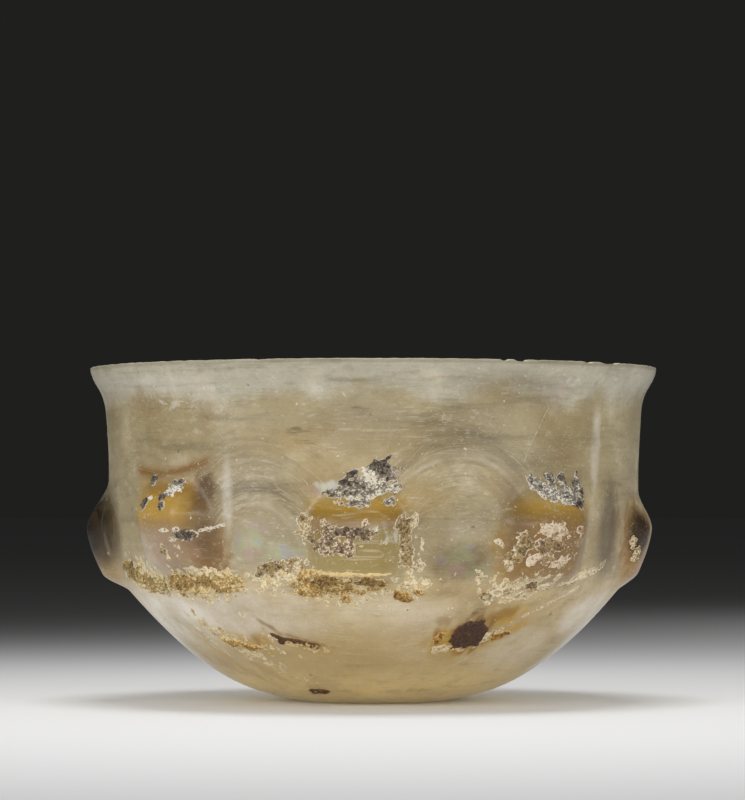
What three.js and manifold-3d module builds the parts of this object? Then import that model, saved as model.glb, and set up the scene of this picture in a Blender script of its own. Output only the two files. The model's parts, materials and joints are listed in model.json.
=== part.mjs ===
// A blown-glass bowl with eight ribs drawn out of its wall, and the burial crusts that cling to it.
// Millimetres, +Z up. The origin is the centre of the flat that the bowl stands on.
// The front is -Y. An azimuth is counted in degrees from the front towards the right (+X).

import * as THREE from "three";
import { mergeVertices } from "three/addons/utils/BufferGeometryUtils.js";
import Module from "manifold-3d";

// Outer profile, from the foot upwards. Each rise is measured from the point below it.
const STAND_RADIUS = 17;
const TURN_RADIUS = 61;
const TURN_RISE = 28.2;
const WALL_RADIUS = 65.4;
const WALL_RISE = 25.8;
const NECK_RADIUS = 66;
const NECK_RISE = 16;
const LIP_RADIUS = 70;
const LIP_RISE = 12;

// Tilts of the profile, in degrees from level
const STAND_EDGE_TILT = 7;
const TURN_TILT = 50.5;
const WALL_TILT = 90;
const NECK_TILT = 87;
const LIP_TILT = 82;

// How firmly each curve of the profile holds to its tilts, at its lower and its upper end
const FOOT_HOLD = [0.355, 0.425];
const SHOULDER_HOLD = [0.14, 0.4];
const WALL_HOLD = [0.33, 0.33];
const FLARE_HOLD = [0.6, 0.4];

// Glass thicknesses
const FLOOR_GLASS = 3.8;
const TURN_GLASS = 3;
const WALL_GLASS = 2.6;
const LIP_GLASS = 1.8;
const RIB_GLASS = 4.4;

// Ribs: heights are measured along the axis from where the rib leaves the wall at its lower end
const RIB_FOOT_DROP = 1.1;
const LEDGE_RISE = 5.4;
const CROWN_RISE = 15.4;
const LEDGE_FULLNESS = 0.56;
const RIB_FLAT_SHARE = 0.35;
const SHOULDER_TAPER = 0.4;

// Each rib was drawn by hand, so each has its own place, width, reach and shoulder
const RIBS = [
  { name: "left", azimuth: -89, halfWidth: 14.5, reach: 6.1, shoulder: 12, lift: 0 },
  { name: "front_left", azimuth: -47.4, halfWidth: 14.2, reach: 5.4, shoulder: 11, lift: 3.5 },
  { name: "front", azimuth: -3.4, halfWidth: 13.6, reach: 5.6, shoulder: 12, lift: 0.5 },
  { name: "front_right", azimuth: 39.5, halfWidth: 14.8, reach: 5.4, shoulder: 12, lift: 0.8 },
  { name: "right", azimuth: 84, halfWidth: 15, reach: 4, shoulder: 9.5, lift: 0 },
  { name: "back_right", azimuth: 130, halfWidth: 14, reach: 5, shoulder: 12, lift: 0.4 },
  { name: "back", azimuth: 177, halfWidth: 14.4, reach: 5.4, shoulder: 13, lift: 0 },
  { name: "back_left", azimuth: 225, halfWidth: 14, reach: 5.2, shoulder: 12, lift: 0.9 },
];

// Crusts: a gap keeps each one clear of the glass, and its rim is thinner than its middle
const CRUST_GAP = 0.3;
const CRUST_RIM = 0.4;
const CRUST_ROOT = 1.2;

// The ragged outline of a crust is an ellipse disturbed by these waves
const RAGGED = [
  { waves: 2, share: 0.1 },
  { waves: 3, share: 0.1 },
  { waves: 7, share: 0.08 },
];

// Fineness of the faces. The steps are those of the outer face, from the foot to the lip.
const GAP_STEPS = 3;
const RIB_STATIONS = [-1, -0.82, -0.62, -0.38, 0, 0.38, 0.62, 0.82, 1];
const LEVEL_STEPS = { floor: 1, underside: 7, ledge: 6, belly: 3, shoulder: 5, wall: 2, flare: 6 };
const INNER_FINENESS = 0.7;
const CRUST_SIDES = 20;
const CRUST_RINGS = [0.62, 1];
const PROFILE_SAMPLES = 600;
const WELD = 1e-5;

const { degToRad } = THREE.MathUtils;
const wasm = await Module();
wasm.setup();

// A cubic curve in the plane of radius and height, leaving and arriving at the given tilts.
function arcBetween(start, startTilt, end, endTilt, [startHold, endHold]) {
  const chord = start.distanceTo(end);
  const heading = (tilt) => new THREE.Vector2(Math.cos(degToRad(tilt)), Math.sin(degToRad(tilt)));
  const leave = start.clone().addScaledVector(heading(startTilt), startHold * chord);
  const arrive = end.clone().addScaledVector(heading(endTilt), -endHold * chord);
  return new THREE.CubicBezierCurve(start, leave, arrive, end);
}

// One side of the wall, from the centre of the foot to the lip, as five joined curves.
function wallProfile({ stand, turn, wall, neck, lip }) {
  const path = new THREE.CurvePath();
  path.add(new THREE.LineCurve(new THREE.Vector2(0, stand.y), stand));
  path.add(arcBetween(stand, STAND_EDGE_TILT, turn, TURN_TILT, FOOT_HOLD));
  path.add(arcBetween(turn, TURN_TILT, wall, WALL_TILT, SHOULDER_HOLD));
  path.add(arcBetween(wall, WALL_TILT, neck, NECK_TILT, WALL_HOLD));
  path.add(arcBetween(neck, NECK_TILT, lip, LIP_TILT, FLARE_HOLD));
  return path;
}

const turnHeight = TURN_RISE;
const wallHeight = turnHeight + WALL_RISE;
const neckHeight = wallHeight + NECK_RISE;
const lipHeight = neckHeight + LIP_RISE;
const turnAcross = degToRad(TURN_TILT);

const outerKnots = {
  stand: new THREE.Vector2(STAND_RADIUS, 0),
  turn: new THREE.Vector2(TURN_RADIUS, turnHeight),
  wall: new THREE.Vector2(WALL_RADIUS, wallHeight),
  neck: new THREE.Vector2(NECK_RADIUS, neckHeight),
  lip: new THREE.Vector2(LIP_RADIUS, lipHeight),
};
const innerKnots = {
  stand: new THREE.Vector2(STAND_RADIUS, FLOOR_GLASS),
  turn: new THREE.Vector2(
    TURN_RADIUS - TURN_GLASS * Math.sin(turnAcross),
    turnHeight + TURN_GLASS * Math.cos(turnAcross),
  ),
  wall: new THREE.Vector2(WALL_RADIUS - WALL_GLASS, wallHeight),
  neck: new THREE.Vector2(NECK_RADIUS - WALL_GLASS, neckHeight),
  lip: new THREE.Vector2(LIP_RADIUS - LIP_GLASS, lipHeight),
};

// Points of a profile at even steps of its length, to look places up by length or by height.
function measured(path) {
  const points = path.getSpacedPoints(PROFILE_SAMPLES);
  const length = path.getLength();
  const at = (along) => {
    const place = THREE.MathUtils.clamp(along / length, 0, 1) * PROFILE_SAMPLES;
    const below = Math.min(Math.floor(place), PROFILE_SAMPLES - 1);
    const point = points[below].clone().lerp(points[below + 1], place - below);
    const run = points[below + 1].clone().sub(points[below]).normalize();
    return { point, outward: new THREE.Vector2(run.y, -run.x) };
  };
  const alongAtHeight = (height) => {
    const above = points.findIndex((point) => point.y >= height);
    return ((above < 0 ? PROFILE_SAMPLES : above) / PROFILE_SAMPLES) * length;
  };
  return { at, alongAtHeight, length };
}

const outer = measured(wallProfile(outerKnots));
const inner = measured(wallProfile(innerKnots));

// How far a rib stands out at a height above its lower end: a steep ledge, a full belly, a long shoulder.
function ribRise(rib, height) {
  const ledge = THREE.MathUtils.smoothstep(height, 0, LEDGE_RISE);
  const belly = LEDGE_FULLNESS + (1 - LEDGE_FULLNESS) * THREE.MathUtils.smoothstep(height, 0, CROWN_RISE);
  const shoulder = 1 - THREE.MathUtils.smoothstep(height, CROWN_RISE, CROWN_RISE + rib.shoulder);
  return ledge * belly * shoulder;
}

// How far all ribs together push a face outwards, less the glass that thickens each rib.
// A rib draws in as its shoulder runs out, so that its top is round.
function ribSwell(azimuth, level, thickening) {
  let swell = 0;
  for (const rib of RIBS) {
    const height = level - (turnHeight - RIB_FOOT_DROP + rib.lift);
    const upShoulder = THREE.MathUtils.smoothstep(height, CROWN_RISE, CROWN_RISE + rib.shoulder);
    const halfWidth = rib.halfWidth * (1 - SHOULDER_TAPER * upShoulder);
    const turned = THREE.MathUtils.euclideanModulo(azimuth - rib.azimuth + 180, 360) - 180;
    const across = Math.abs(degToRad(turned) * WALL_RADIUS) / halfWidth;
    const side = 1 - THREE.MathUtils.smoothstep(across, RIB_FLAT_SHARE, 1);
    swell += (rib.reach - thickening) * side * ribRise(rib, height);
  }
  return swell;
}

// A point of one face of the wall, moved outwards by a clearance.
function wallPoint(face, azimuth, along, thickening, clearance = 0) {
  const { point, outward } = face.at(along);
  const push = ribSwell(azimuth, point.y, thickening) + clearance;
  const radius = point.x + outward.x * push;
  const turned = degToRad(azimuth);
  return new THREE.Vector3(
    radius * Math.sin(turned),
    -radius * Math.cos(turned),
    point.y + outward.y * push,
  );
}

const outerPoint = (azimuth, along, clearance) => wallPoint(outer, azimuth, along, 0, clearance);
const innerPoint = (azimuth, along) => wallPoint(inner, azimuth, along, RIB_GLASS - WALL_GLASS);

// Azimuths of the upright lines of faces: close together on each rib, and even in the gaps.
function azimuthStations() {
  const stations = [];
  RIBS.forEach((rib, i) => {
    const next = RIBS[(i + 1) % RIBS.length];
    const spread = (r) => THREE.MathUtils.radToDeg(r.halfWidth / WALL_RADIUS);
    const nextAzimuth = next.azimuth + (i + 1 === RIBS.length ? 360 : 0);
    stations.push(...RIB_STATIONS.map((share) => rib.azimuth + share * spread(rib)));
    const start = rib.azimuth + spread(rib);
    const step = (nextAzimuth - spread(next) - start) / GAP_STEPS;
    for (let k = 1; k < GAP_STEPS; k++) stations.push(start + k * step);
  });
  return stations;
}

// Lengths along a profile of the level lines of faces, closest where the ribs curve most.
function levelStations(face, fineness) {
  const ledgeFoot = turnHeight - RIB_FOOT_DROP;
  const highestLift = Math.max(...RIBS.map((rib) => rib.lift));
  const longestShoulder = Math.max(...RIBS.map((rib) => rib.shoulder));
  const zones = [
    [0, 0],
    [STAND_RADIUS, LEVEL_STEPS.floor],
    [face.alongAtHeight(ledgeFoot), LEVEL_STEPS.underside],
    [face.alongAtHeight(ledgeFoot + highestLift + LEDGE_RISE), LEVEL_STEPS.ledge],
    [face.alongAtHeight(ledgeFoot + highestLift + CROWN_RISE), LEVEL_STEPS.belly],
    [face.alongAtHeight(ledgeFoot + CROWN_RISE + longestShoulder), LEVEL_STEPS.shoulder],
    [face.alongAtHeight(neckHeight), LEVEL_STEPS.wall],
    [face.length, LEVEL_STEPS.flare],
  ];
  const levels = [];
  for (let zone = 1; zone < zones.length; zone++) {
    const [start] = zones[zone - 1];
    const [end, steps] = zones[zone];
    const count = Math.max(1, Math.round(steps * fineness));
    for (let k = 1; k <= count; k++) levels.push(start + ((end - start) * k) / count);
  }
  return levels;
}

// Joins rows of points, each row a closed ring of the same count, between two end points.
function ringSolid(first, rings, last) {
  const count = rings[0].length;
  const points = [first, ...rings.flat(), last];
  const index = [];
  const ringStart = (k) => 1 + k * count;
  for (let i = 0; i < count; i++) {
    const j = (i + 1) % count;
    index.push(0, ringStart(0) + j, ringStart(0) + i);
    for (let k = 0; k + 1 < rings.length; k++) {
      const [a, b] = [ringStart(k) + i, ringStart(k) + j];
      const [c, d] = [ringStart(k + 1) + i, ringStart(k + 1) + j];
      index.push(a, b, d, a, d, c);
    }
    const end = ringStart(rings.length - 1);
    index.push(end + i, end + j, points.length - 1);
  }
  const geometry = new THREE.BufferGeometry().setFromPoints(points);
  geometry.setIndex(index);
  return geometry;
}

// Solids for cutting, and back to faces.
function toSolid(geometry) {
  const bare = new THREE.BufferGeometry().setAttribute("position", geometry.getAttribute("position"));
  bare.setIndex(geometry.getIndex());
  const merged = mergeVertices(bare, WELD);
  return new wasm.Manifold(
    new wasm.Mesh({
      numProp: 3,
      vertProperties: new Float32Array(merged.attributes.position.array),
      triVerts: new Uint32Array(merged.index.array),
    }),
  );
}

function toGeometry(solid) {
  const mesh = solid.getMesh();
  const positions = new THREE.BufferAttribute(mesh.vertProperties, mesh.numProp);
  const geometry = new THREE.BufferGeometry().setAttribute("position", positions);
  geometry.setIndex(new THREE.BufferAttribute(mesh.triVerts, 1));
  const flat = geometry.toNonIndexed();
  flat.computeVertexNormals();
  return flat;
}

const azimuths = azimuthStations();
const outerLevels = levelStations(outer, 1);

// The bowl: up the outer face, over the level lip and down the inner face to the floor.
function bowlGeometry() {
  const innerLevels = levelStations(inner, INNER_FINENESS).reverse();
  const outerRings = outerLevels.map((along) => azimuths.map((a) => outerPoint(a, along)));
  const innerRings = innerLevels.map((along) => azimuths.map((a) => innerPoint(a, along)));
  const foot = new THREE.Vector3(0, 0, 0);
  const floor = new THREE.Vector3(0, 0, FLOOR_GLASS);
  const geometry = ringSolid(foot, [...outerRings, ...innerRings], floor).toNonIndexed();
  geometry.computeVertexNormals();
  return geometry;
}

// The bowl filled up and grown by the crust gap: what each crust is cut back to.
function grownBowl() {
  const rings = outerLevels.map((along) => azimuths.map((a) => outerPoint(a, along, CRUST_GAP)));
  const foot = new THREE.Vector3(0, 0, -CRUST_GAP);
  const mouth = new THREE.Vector3(0, 0, lipHeight);
  return toSolid(ringSolid(foot, rings, mouth));
}

// Crusts. Each lies by a rib: its centre is so far across from the rib's middle line and so far up the
// profile from the turn of the wall.
const CRUSTS = [
  {
    name: "front_rib_shoulder_crust", rib: "front", colour: "grey", seed: 0.4,
    across: 1.2, up: 25.2, turn: 14, halfWidth: 8, halfHeight: 3.8, thickness: 1.2,
  },
  {
    name: "front_rib_left_edge_crust", rib: "front", colour: "tan", seed: 1.3,
    across: -12, up: 15, turn: 0, halfWidth: 2, halfHeight: 3.2, thickness: 1.0,
  },
  {
    name: "front_rib_middle_crust", rib: "front", colour: "grey", seed: 2.2,
    across: -2.7, up: 12.7, turn: 0, halfWidth: 5.8, halfHeight: 3.4, thickness: 1.2,
  },
  {
    name: "front_rib_right_edge_crust", rib: "front", colour: "tan", seed: 3.4,
    across: 11.3, up: 11.9, turn: 8, halfWidth: 2, halfHeight: 6.4, thickness: 1.1,
  },
  {
    name: "front_rib_low_left_crust", rib: "front", colour: "tan", seed: 4.1,
    across: -18.6, up: 6, turn: 10, halfWidth: 5.6, halfHeight: 1.8, thickness: 1.0,
  },
  {
    name: "front_rib_ledge_crust", rib: "front", colour: "tan", seed: 5.2,
    across: -3.6, up: 1.2, turn: 0, halfWidth: 10, halfHeight: 3.2, thickness: 1.2,
  },
  {
    name: "front_rib_ledge_end_crust", rib: "front", colour: "tan", seed: 0.9,
    across: 10.4, up: -1.6, turn: -20, halfWidth: 2.6, halfHeight: 1.7, thickness: 0.9,
  },
  {
    name: "left_front_rib_chip_crust", rib: "front_left", colour: "grey", seed: 1.7,
    across: 3.2, up: 23.7, turn: -20, halfWidth: 3, halfHeight: 2.8, thickness: 0.9,
  },
  {
    name: "left_front_rib_upper_speck", rib: "front_left", colour: "grey", seed: 2.9,
    across: -4.6, up: 26.3, turn: 0, halfWidth: 1.3, halfHeight: 1.4, thickness: 0.8,
  },
  {
    name: "left_front_rib_outer_speck", rib: "front_left", colour: "grey", seed: 3.8,
    across: -3.8, up: 21.2, turn: 0, halfWidth: 1.5, halfHeight: 1.6, thickness: 0.8,
  },
  {
    name: "left_front_rib_streak_crust", rib: "front_left", colour: "grey", seed: 4.6,
    across: 8.8, up: 13.9, turn: 6, halfWidth: 5.8, halfHeight: 1.3, thickness: 0.8,
  },
  {
    name: "left_front_rib_low_speck", rib: "front_left", colour: "tan", seed: 5.5,
    across: 1.2, up: 9.8, turn: 0, halfWidth: 1.5, halfHeight: 1.7, thickness: 0.8,
  },
  {
    name: "left_front_rib_band_crust", rib: "front_left", colour: "tan", seed: 0.2,
    across: -17.6, up: 2.6, turn: -13, halfWidth: 11, halfHeight: 2.8, thickness: 1.1,
  },
  {
    name: "left_front_rib_ledge_crust", rib: "front_left", colour: "tan", seed: 1.1,
    across: 7.2, up: 1.2, turn: 0, halfWidth: 9.8, halfHeight: 3, thickness: 1.2,
  },
  {
    name: "right_front_rib_shoulder_crust", rib: "front_right", colour: "grey", seed: 2.0,
    across: 2.6, up: 24, turn: -8, halfWidth: 9.6, halfHeight: 3.2, thickness: 1.2,
  },
  {
    name: "right_front_rib_edge_crust", rib: "front_right", colour: "tan", seed: 2.6,
    across: -10, up: 10.6, turn: -20, halfWidth: 1.9, halfHeight: 4.7, thickness: 1.0,
  },
  {
    name: "right_front_rib_middle_crust", rib: "front_right", colour: "tan", seed: 3.1,
    across: -2.2, up: 11.6, turn: 0, halfWidth: 4.4, halfHeight: 4.9, thickness: 1.1,
  },
  {
    name: "right_front_rib_speck", rib: "front_right", colour: "tan", seed: 4.4,
    across: 5, up: 14.6, turn: 0, halfWidth: 1.3, halfHeight: 1.6, thickness: 0.8,
  },
  {
    name: "right_front_rib_ledge_crust", rib: "front_right", colour: "tan", seed: 5.9,
    across: -5.4, up: -0.2, turn: 6, halfWidth: 8.6, halfHeight: 1.9, thickness: 1.0,
  },
  {
    name: "right_front_rib_streak_crust", rib: "front_right", colour: "tan", seed: 0.7,
    across: 13.2, up: 3.2, turn: 15, halfWidth: 8.8, halfHeight: 1.5, thickness: 0.8,
  },
  {
    name: "right_rib_crust", rib: "right", colour: "grey", seed: 1.5,
    across: -10, up: 10, turn: 0, halfWidth: 2, halfHeight: 3.2, thickness: 1.0,
  },
  {
    name: "iron_spot_crust", rib: "front_right", colour: "iron", seed: 2.4,
    across: -12.3, up: -14.5, turn: 0, halfWidth: 4.5, halfHeight: 4.2, thickness: 1.2,
  },
  {
    name: "iron_left_flake", rib: "front_right", colour: "tan", seed: 3.3,
    across: -19.8, up: -15, turn: -10, halfWidth: 1.4, halfHeight: 2.4, thickness: 0.8,
  },
  {
    name: "iron_right_flake", rib: "front_right", colour: "tan", seed: 4.8,
    across: -3.8, up: -14.6, turn: 20, halfWidth: 2.2, halfHeight: 1.8, thickness: 0.8,
  },
  {
    name: "low_left_crust", rib: "front_left", colour: "tan", seed: 5.1,
    across: 7.4, up: -17.6, turn: -14, halfWidth: 5.2, halfHeight: 1.6, thickness: 0.8,
  },
  {
    name: "low_left_iron_crust", rib: "front", colour: "iron", seed: 0.5,
    across: -17, up: -16.4, turn: -18, halfWidth: 6.2, halfHeight: 1.7, thickness: 0.9,
  },
  {
    name: "floor_edge_crust", rib: "front", colour: "iron", seed: 1.9,
    across: -11.6, up: -38.4, turn: 0, halfWidth: 3, halfHeight: 1.8, thickness: 0.8,
  },
];

// A ragged lens of crust, thin at its rim, cut back to lie on the glass.
function crustGeometry(crust, bowl) {
  const rib = RIBS.find(({ name }) => name === crust.rib);
  const turnAlong = outer.alongAtHeight(turnHeight);
  const lean = degToRad(crust.turn);
  const placed = (share, k, depth) => {
    const angle = (2 * Math.PI * k) / CRUST_SIDES;
    const ragged = RAGGED.reduce(
      (sum, wave, n) => sum + wave.share * Math.sin(wave.waves * angle + crust.seed * (n + 1)),
      1,
    );
    const a = share * ragged * crust.halfWidth * Math.cos(angle);
    const b = share * ragged * crust.halfHeight * Math.sin(angle);
    const across = crust.across + a * Math.cos(lean) - b * Math.sin(lean);
    const along = turnAlong + crust.up + a * Math.sin(lean) + b * Math.cos(lean);
    const radius = outer.at(along).point.x;
    const azimuth = rib.azimuth + THREE.MathUtils.radToDeg(across / radius);
    return outerPoint(azimuth, along, depth);
  };
  const thickness = (share) => CRUST_GAP + CRUST_RIM + (crust.thickness - CRUST_RIM) * (1 - share ** 2);
  const ring = (share, depth) =>
    Array.from({ length: CRUST_SIDES }, (_, k) => placed(share, k, depth));
  const root = CRUST_RINGS.map((share) => ring(share, -CRUST_ROOT));
  const face = CRUST_RINGS.map((share) => ring(share, thickness(share))).reverse();
  const block = ringSolid(placed(0, 0, -CRUST_ROOT), [...root, ...face], placed(0, 0, thickness(0)));
  return toGeometry(toSolid(block).subtract(bowl));
}

const glass = new THREE.MeshStandardMaterial({
  color: 0xb5a47a,
  roughness: 0.3,
  metalness: 0,
  transparent: true,
  opacity: 0.55,
});

const crustColours = {
  grey: new THREE.MeshStandardMaterial({ color: 0x9a9084, roughness: 0.9, metalness: 0 }),
  tan: new THREE.MeshStandardMaterial({ color: 0xb8995f, roughness: 0.95, metalness: 0 }),
  iron: new THREE.MeshStandardMaterial({ color: 0x4a3222, roughness: 0.9, metalness: 0 }),
};

const bowl = new THREE.Group();
const body = new THREE.Mesh(bowlGeometry(), glass);
body.name = "glass_bowl";
bowl.add(body);

const clearOfGlass = grownBowl();
for (const crust of CRUSTS) {
  const mesh = new THREE.Mesh(crustGeometry(crust, clearOfGlass), crustColours[crust.colour]);
  mesh.name = crust.name;
  bowl.add(mesh);
}

export default bowl;
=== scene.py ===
"""Dresses a blown-glass bowl with eight drawn ribs, its weathering and its burial crusts."""

import json
import logging
import math
from dataclasses import dataclass, field
from enum import Enum

import bpy
import numpy as np
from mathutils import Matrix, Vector


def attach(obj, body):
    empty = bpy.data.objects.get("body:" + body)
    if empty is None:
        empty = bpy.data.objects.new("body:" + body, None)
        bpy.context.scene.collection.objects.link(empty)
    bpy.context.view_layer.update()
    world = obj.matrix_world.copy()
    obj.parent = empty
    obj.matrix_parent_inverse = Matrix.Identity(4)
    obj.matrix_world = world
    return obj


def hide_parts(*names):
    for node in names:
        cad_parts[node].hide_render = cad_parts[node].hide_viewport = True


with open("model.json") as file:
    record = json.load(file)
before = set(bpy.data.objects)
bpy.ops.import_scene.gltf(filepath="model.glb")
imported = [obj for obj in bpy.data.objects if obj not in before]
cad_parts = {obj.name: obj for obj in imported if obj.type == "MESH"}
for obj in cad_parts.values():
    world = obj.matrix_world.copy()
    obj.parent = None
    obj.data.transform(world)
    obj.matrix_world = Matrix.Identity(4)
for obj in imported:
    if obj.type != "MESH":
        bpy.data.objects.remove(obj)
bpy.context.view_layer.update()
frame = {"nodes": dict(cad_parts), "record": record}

logging.basicConfig(level=logging.INFO, format="%(message)s")
log = logging.getLogger("ribbed_bowl")

MM = 0.001
BODY = "root"
Colour = tuple[float, float, float, float]


def srgb(red: float, green: float, blue: float) -> Colour:
    """Turns a colour written as 0 to 255 into the linear colour that a shader takes.

    Args:
        red: Red as seen, 0 to 255.
        green: Green as seen, 0 to 255.
        blue: Blue as seen, 0 to 255.

    Returns:
        The linear colour with full opacity.
    """

    def linear(value: float) -> float:
        """One channel, from its seen value to its linear one."""
        share = value / 255
        return share / 12.92 if share <= 0.04045 else ((share + 0.055) / 1.055) ** 2.4

    return linear(red), linear(green), linear(blue), 1.0


def smoothstep(value: np.ndarray, low: float, high: float) -> np.ndarray:
    """A smooth ramp from 0 at low to 1 at high."""
    share = np.clip((value - low) / (high - low), 0, 1)
    return share * share * (3 - 2 * share)


def band(value: np.ndarray, low: float, high: float, soft: float) -> np.ndarray:
    """1 between low and high, with soft ends."""
    return smoothstep(value, low - soft, low + soft) * (1 - smoothstep(value, high - soft, high + soft))


def bell(value: np.ndarray, middle: float, width: float) -> np.ndarray:
    """A soft bump, 1 at its middle."""
    return np.exp(-(((value - middle) / width) ** 2))


def turn_between(azimuth: np.ndarray, other: float) -> np.ndarray:
    """The turn from one azimuth to another, in degrees, the short way round."""
    return (azimuth - other + 180) % 360 - 180


@dataclass(frozen=True)
class Knot:
    """A point of a profile, with the tilt of the curve there in degrees from level."""

    radius: float
    height: float
    tilt: float


@dataclass(frozen=True)
class RibTint:
    """How one rib is coloured. Heights are above its ledge, in metres, and side is -1 left or 1 right. Dark
    is painted shade down that side of the rib.
    """

    amber: float
    amber_from: float
    amber_to: float
    gold: float
    brown: float
    side: float
    dark: float
    arc: float
    mauve: float


@dataclass(frozen=True)
class Rib:
    """One drawn rib: its azimuth in degrees, half width, reach, shoulder and lift in metres, and tint."""

    azimuth: float
    half_width: float
    reach: float
    shoulder: float
    lift: float
    tint: RibTint


@dataclass(frozen=True)
class Chip:
    """A small flake lost from the lip: where it is, how wide in degrees, and how deep in metres."""

    azimuth: float
    half_width: float
    depth: float


def rib_row(
    azimuth: float, half_width: float, reach: float, shoulder: float, lift: float, *tint: float
) -> Rib:
    """A rib from its sizes in millimetres and its tint, whose second and third values are millimetres too."""
    shades = (tint[0], tint[1] * MM, tint[2] * MM, *tint[3:])
    return Rib(azimuth, half_width * MM, reach * MM, shoulder * MM, lift * MM, RibTint(*shades))


@dataclass(frozen=True)
class VesselSizes:
    """The driving sizes of the glass, in metres and degrees."""

    stand_radius: float = 17 * MM
    turn: Knot = Knot(61 * MM, 28.2 * MM, 50.5)
    wall: Knot = Knot(65.4 * MM, 54 * MM, 90)
    neck: Knot = Knot(66 * MM, 70 * MM, 87)
    lip: Knot = Knot(70 * MM, 82 * MM, 82)
    stand_edge_tilt: float = 7
    foot_hold: tuple[float, float] = (0.355, 0.425)
    shoulder_hold: tuple[float, float] = (0.14, 0.4)
    wall_hold: tuple[float, float] = (0.33, 0.33)
    flare_hold: tuple[float, float] = (0.6, 0.4)
    floor_glass: float = 3.8 * MM
    turn_glass: float = 3.0 * MM
    wall_glass: float = 2.6 * MM
    lip_glass: float = 1.8 * MM
    rib_glass: float = 4.4 * MM
    rib_foot_drop: float = 1.1 * MM
    ledge_rise: float = 5.4 * MM
    crown_rise: float = 15.4 * MM
    ledge_fullness: float = 0.56
    flat_share: float = 0.35
    shoulder_taper: float = 0.4
    lip_round: float = 0.45 * MM
    arch_middle: float = 37 * MM
    arch_radii: tuple[float, ...] = tuple(r * MM for r in (15, 17, 11.8, 19.4, 16, 13, 18, 14))
    arch_strengths: tuple[float, ...] = (0.7, 0.3, 1.0, 1.0, 0.2, 0.8, 0.7, 0.8)
    ribs: tuple[Rib, ...] = (
        rib_row(-89, 14.5, 6.1, 12, 0, 0.2, 14, 22, 0.1, 0.5, 0, 0, 0, 0),
        rib_row(-47.4, 14.2, 5.4, 11, 3.5, 1.0, 12.5, 23, 0, 0.3, 1.08, 0.8, 1.0, 0),
        rib_row(-3.4, 13.6, 5.6, 12, 0.5, 0.95, 17.5, 22.5, 0.85, 0, 0, 0, 0.15, 1.0),
        rib_row(39.5, 14.8, 5.4, 12, 0.8, 0.95, 17.5, 21.5, 0.8, 0.85, -1, 0.6, 0.1, 0),
        rib_row(84, 15, 4, 9.5, 0, 0.5, 12, 20, 0, 0.8, 1, 0.7, 0, 0),
        rib_row(130, 14, 5, 12, 0.4, 0.9, 15, 21.5, 0.6, 0.2, 1, 0.6, 0.6, 0.6),
        rib_row(177, 14.4, 5.4, 13, 0, 0.8, 17, 22.5, 0.3, 0.7, -1, 0.5, 0.3, 0.4),
        rib_row(225, 14, 5.2, 12, 0.9, 1.0, 14, 23, 0.7, 0.1, 1, 0.7, 0.8, 0.5),
    )
    chips: tuple[Chip, ...] = (
        Chip(26, 0.9, 0.3 * MM),
        Chip(29.5, 1.6, 0.45 * MM),
        Chip(47, 1.2, 0.5 * MM),
        Chip(54, 3.5, 0.35 * MM),
        Chip(-22, 1.4, 0.2 * MM),
        Chip(112, 2.4, 0.4 * MM),
        Chip(203, 1.8, 0.45 * MM),
        Chip(-128, 2.2, 0.3 * MM),
    )


class Ripple:
    """Smooth seeded noise over the wall, without a seam round it."""

    def __init__(self, seed: int, waves: int, turns: int, height: float) -> None:
        """Draws the waves.

        Args:
            seed: Seed of the random draws.
            waves: How many waves are added up.
            turns: The most waves round the bowl.
            height: The shortest wave up the wall, in metres.
        """
        draw = np.random.default_rng(seed)
        self.turns = draw.integers(1, turns + 1, waves)
        self.rate = draw.uniform(-1, 1, waves) * 2 * math.pi / height
        self.phase = draw.uniform(0, 2 * math.pi, waves)
        self.size = draw.uniform(0.5, 1, waves) / math.sqrt(waves)

    def at(self, azimuth: np.ndarray, level: np.ndarray) -> np.ndarray:
        """The noise at azimuths in degrees and heights in metres, about -1 to 1."""
        total = np.zeros(np.broadcast(azimuth, level).shape)
        for turns, rate, phase, size in zip(self.turns, self.rate, self.phase, self.size):
            total += size * np.cos(np.radians(azimuth) * turns + level * rate + phase)
        return total


class Grain:
    """Seeded noise on a flat patch, rough at every size between two wavelengths."""

    def __init__(self, draw: np.random.Generator, shortest: float, longest: float, waves: int = 90) -> None:
        """Draws the waves.

        Args:
            draw: The source of the random draws.
            shortest: Shortest wave, in metres.
            longest: Longest wave, in metres.
            waves: How many waves are added up.
        """
        lengths = shortest * (longest / shortest) ** draw.uniform(0, 1, waves)
        ways = draw.uniform(0, 2 * math.pi, waves)
        self.across = 2 * math.pi / lengths * np.cos(ways)
        self.up = 2 * math.pi / lengths * np.sin(ways)
        self.phase = draw.uniform(0, 2 * math.pi, waves)
        size = (lengths / longest) ** 0.6
        self.size = size / math.sqrt((size**2).sum() / 2)

    def at(self, across: np.ndarray, up: np.ndarray) -> np.ndarray:
        """The noise at places in metres, with a spread of about 1."""
        total = np.zeros(across.shape)
        for rate, climb, phase, size in zip(self.across, self.up, self.phase, self.size):
            total += size * np.cos(across * rate + up * climb + phase)
        return total


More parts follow.
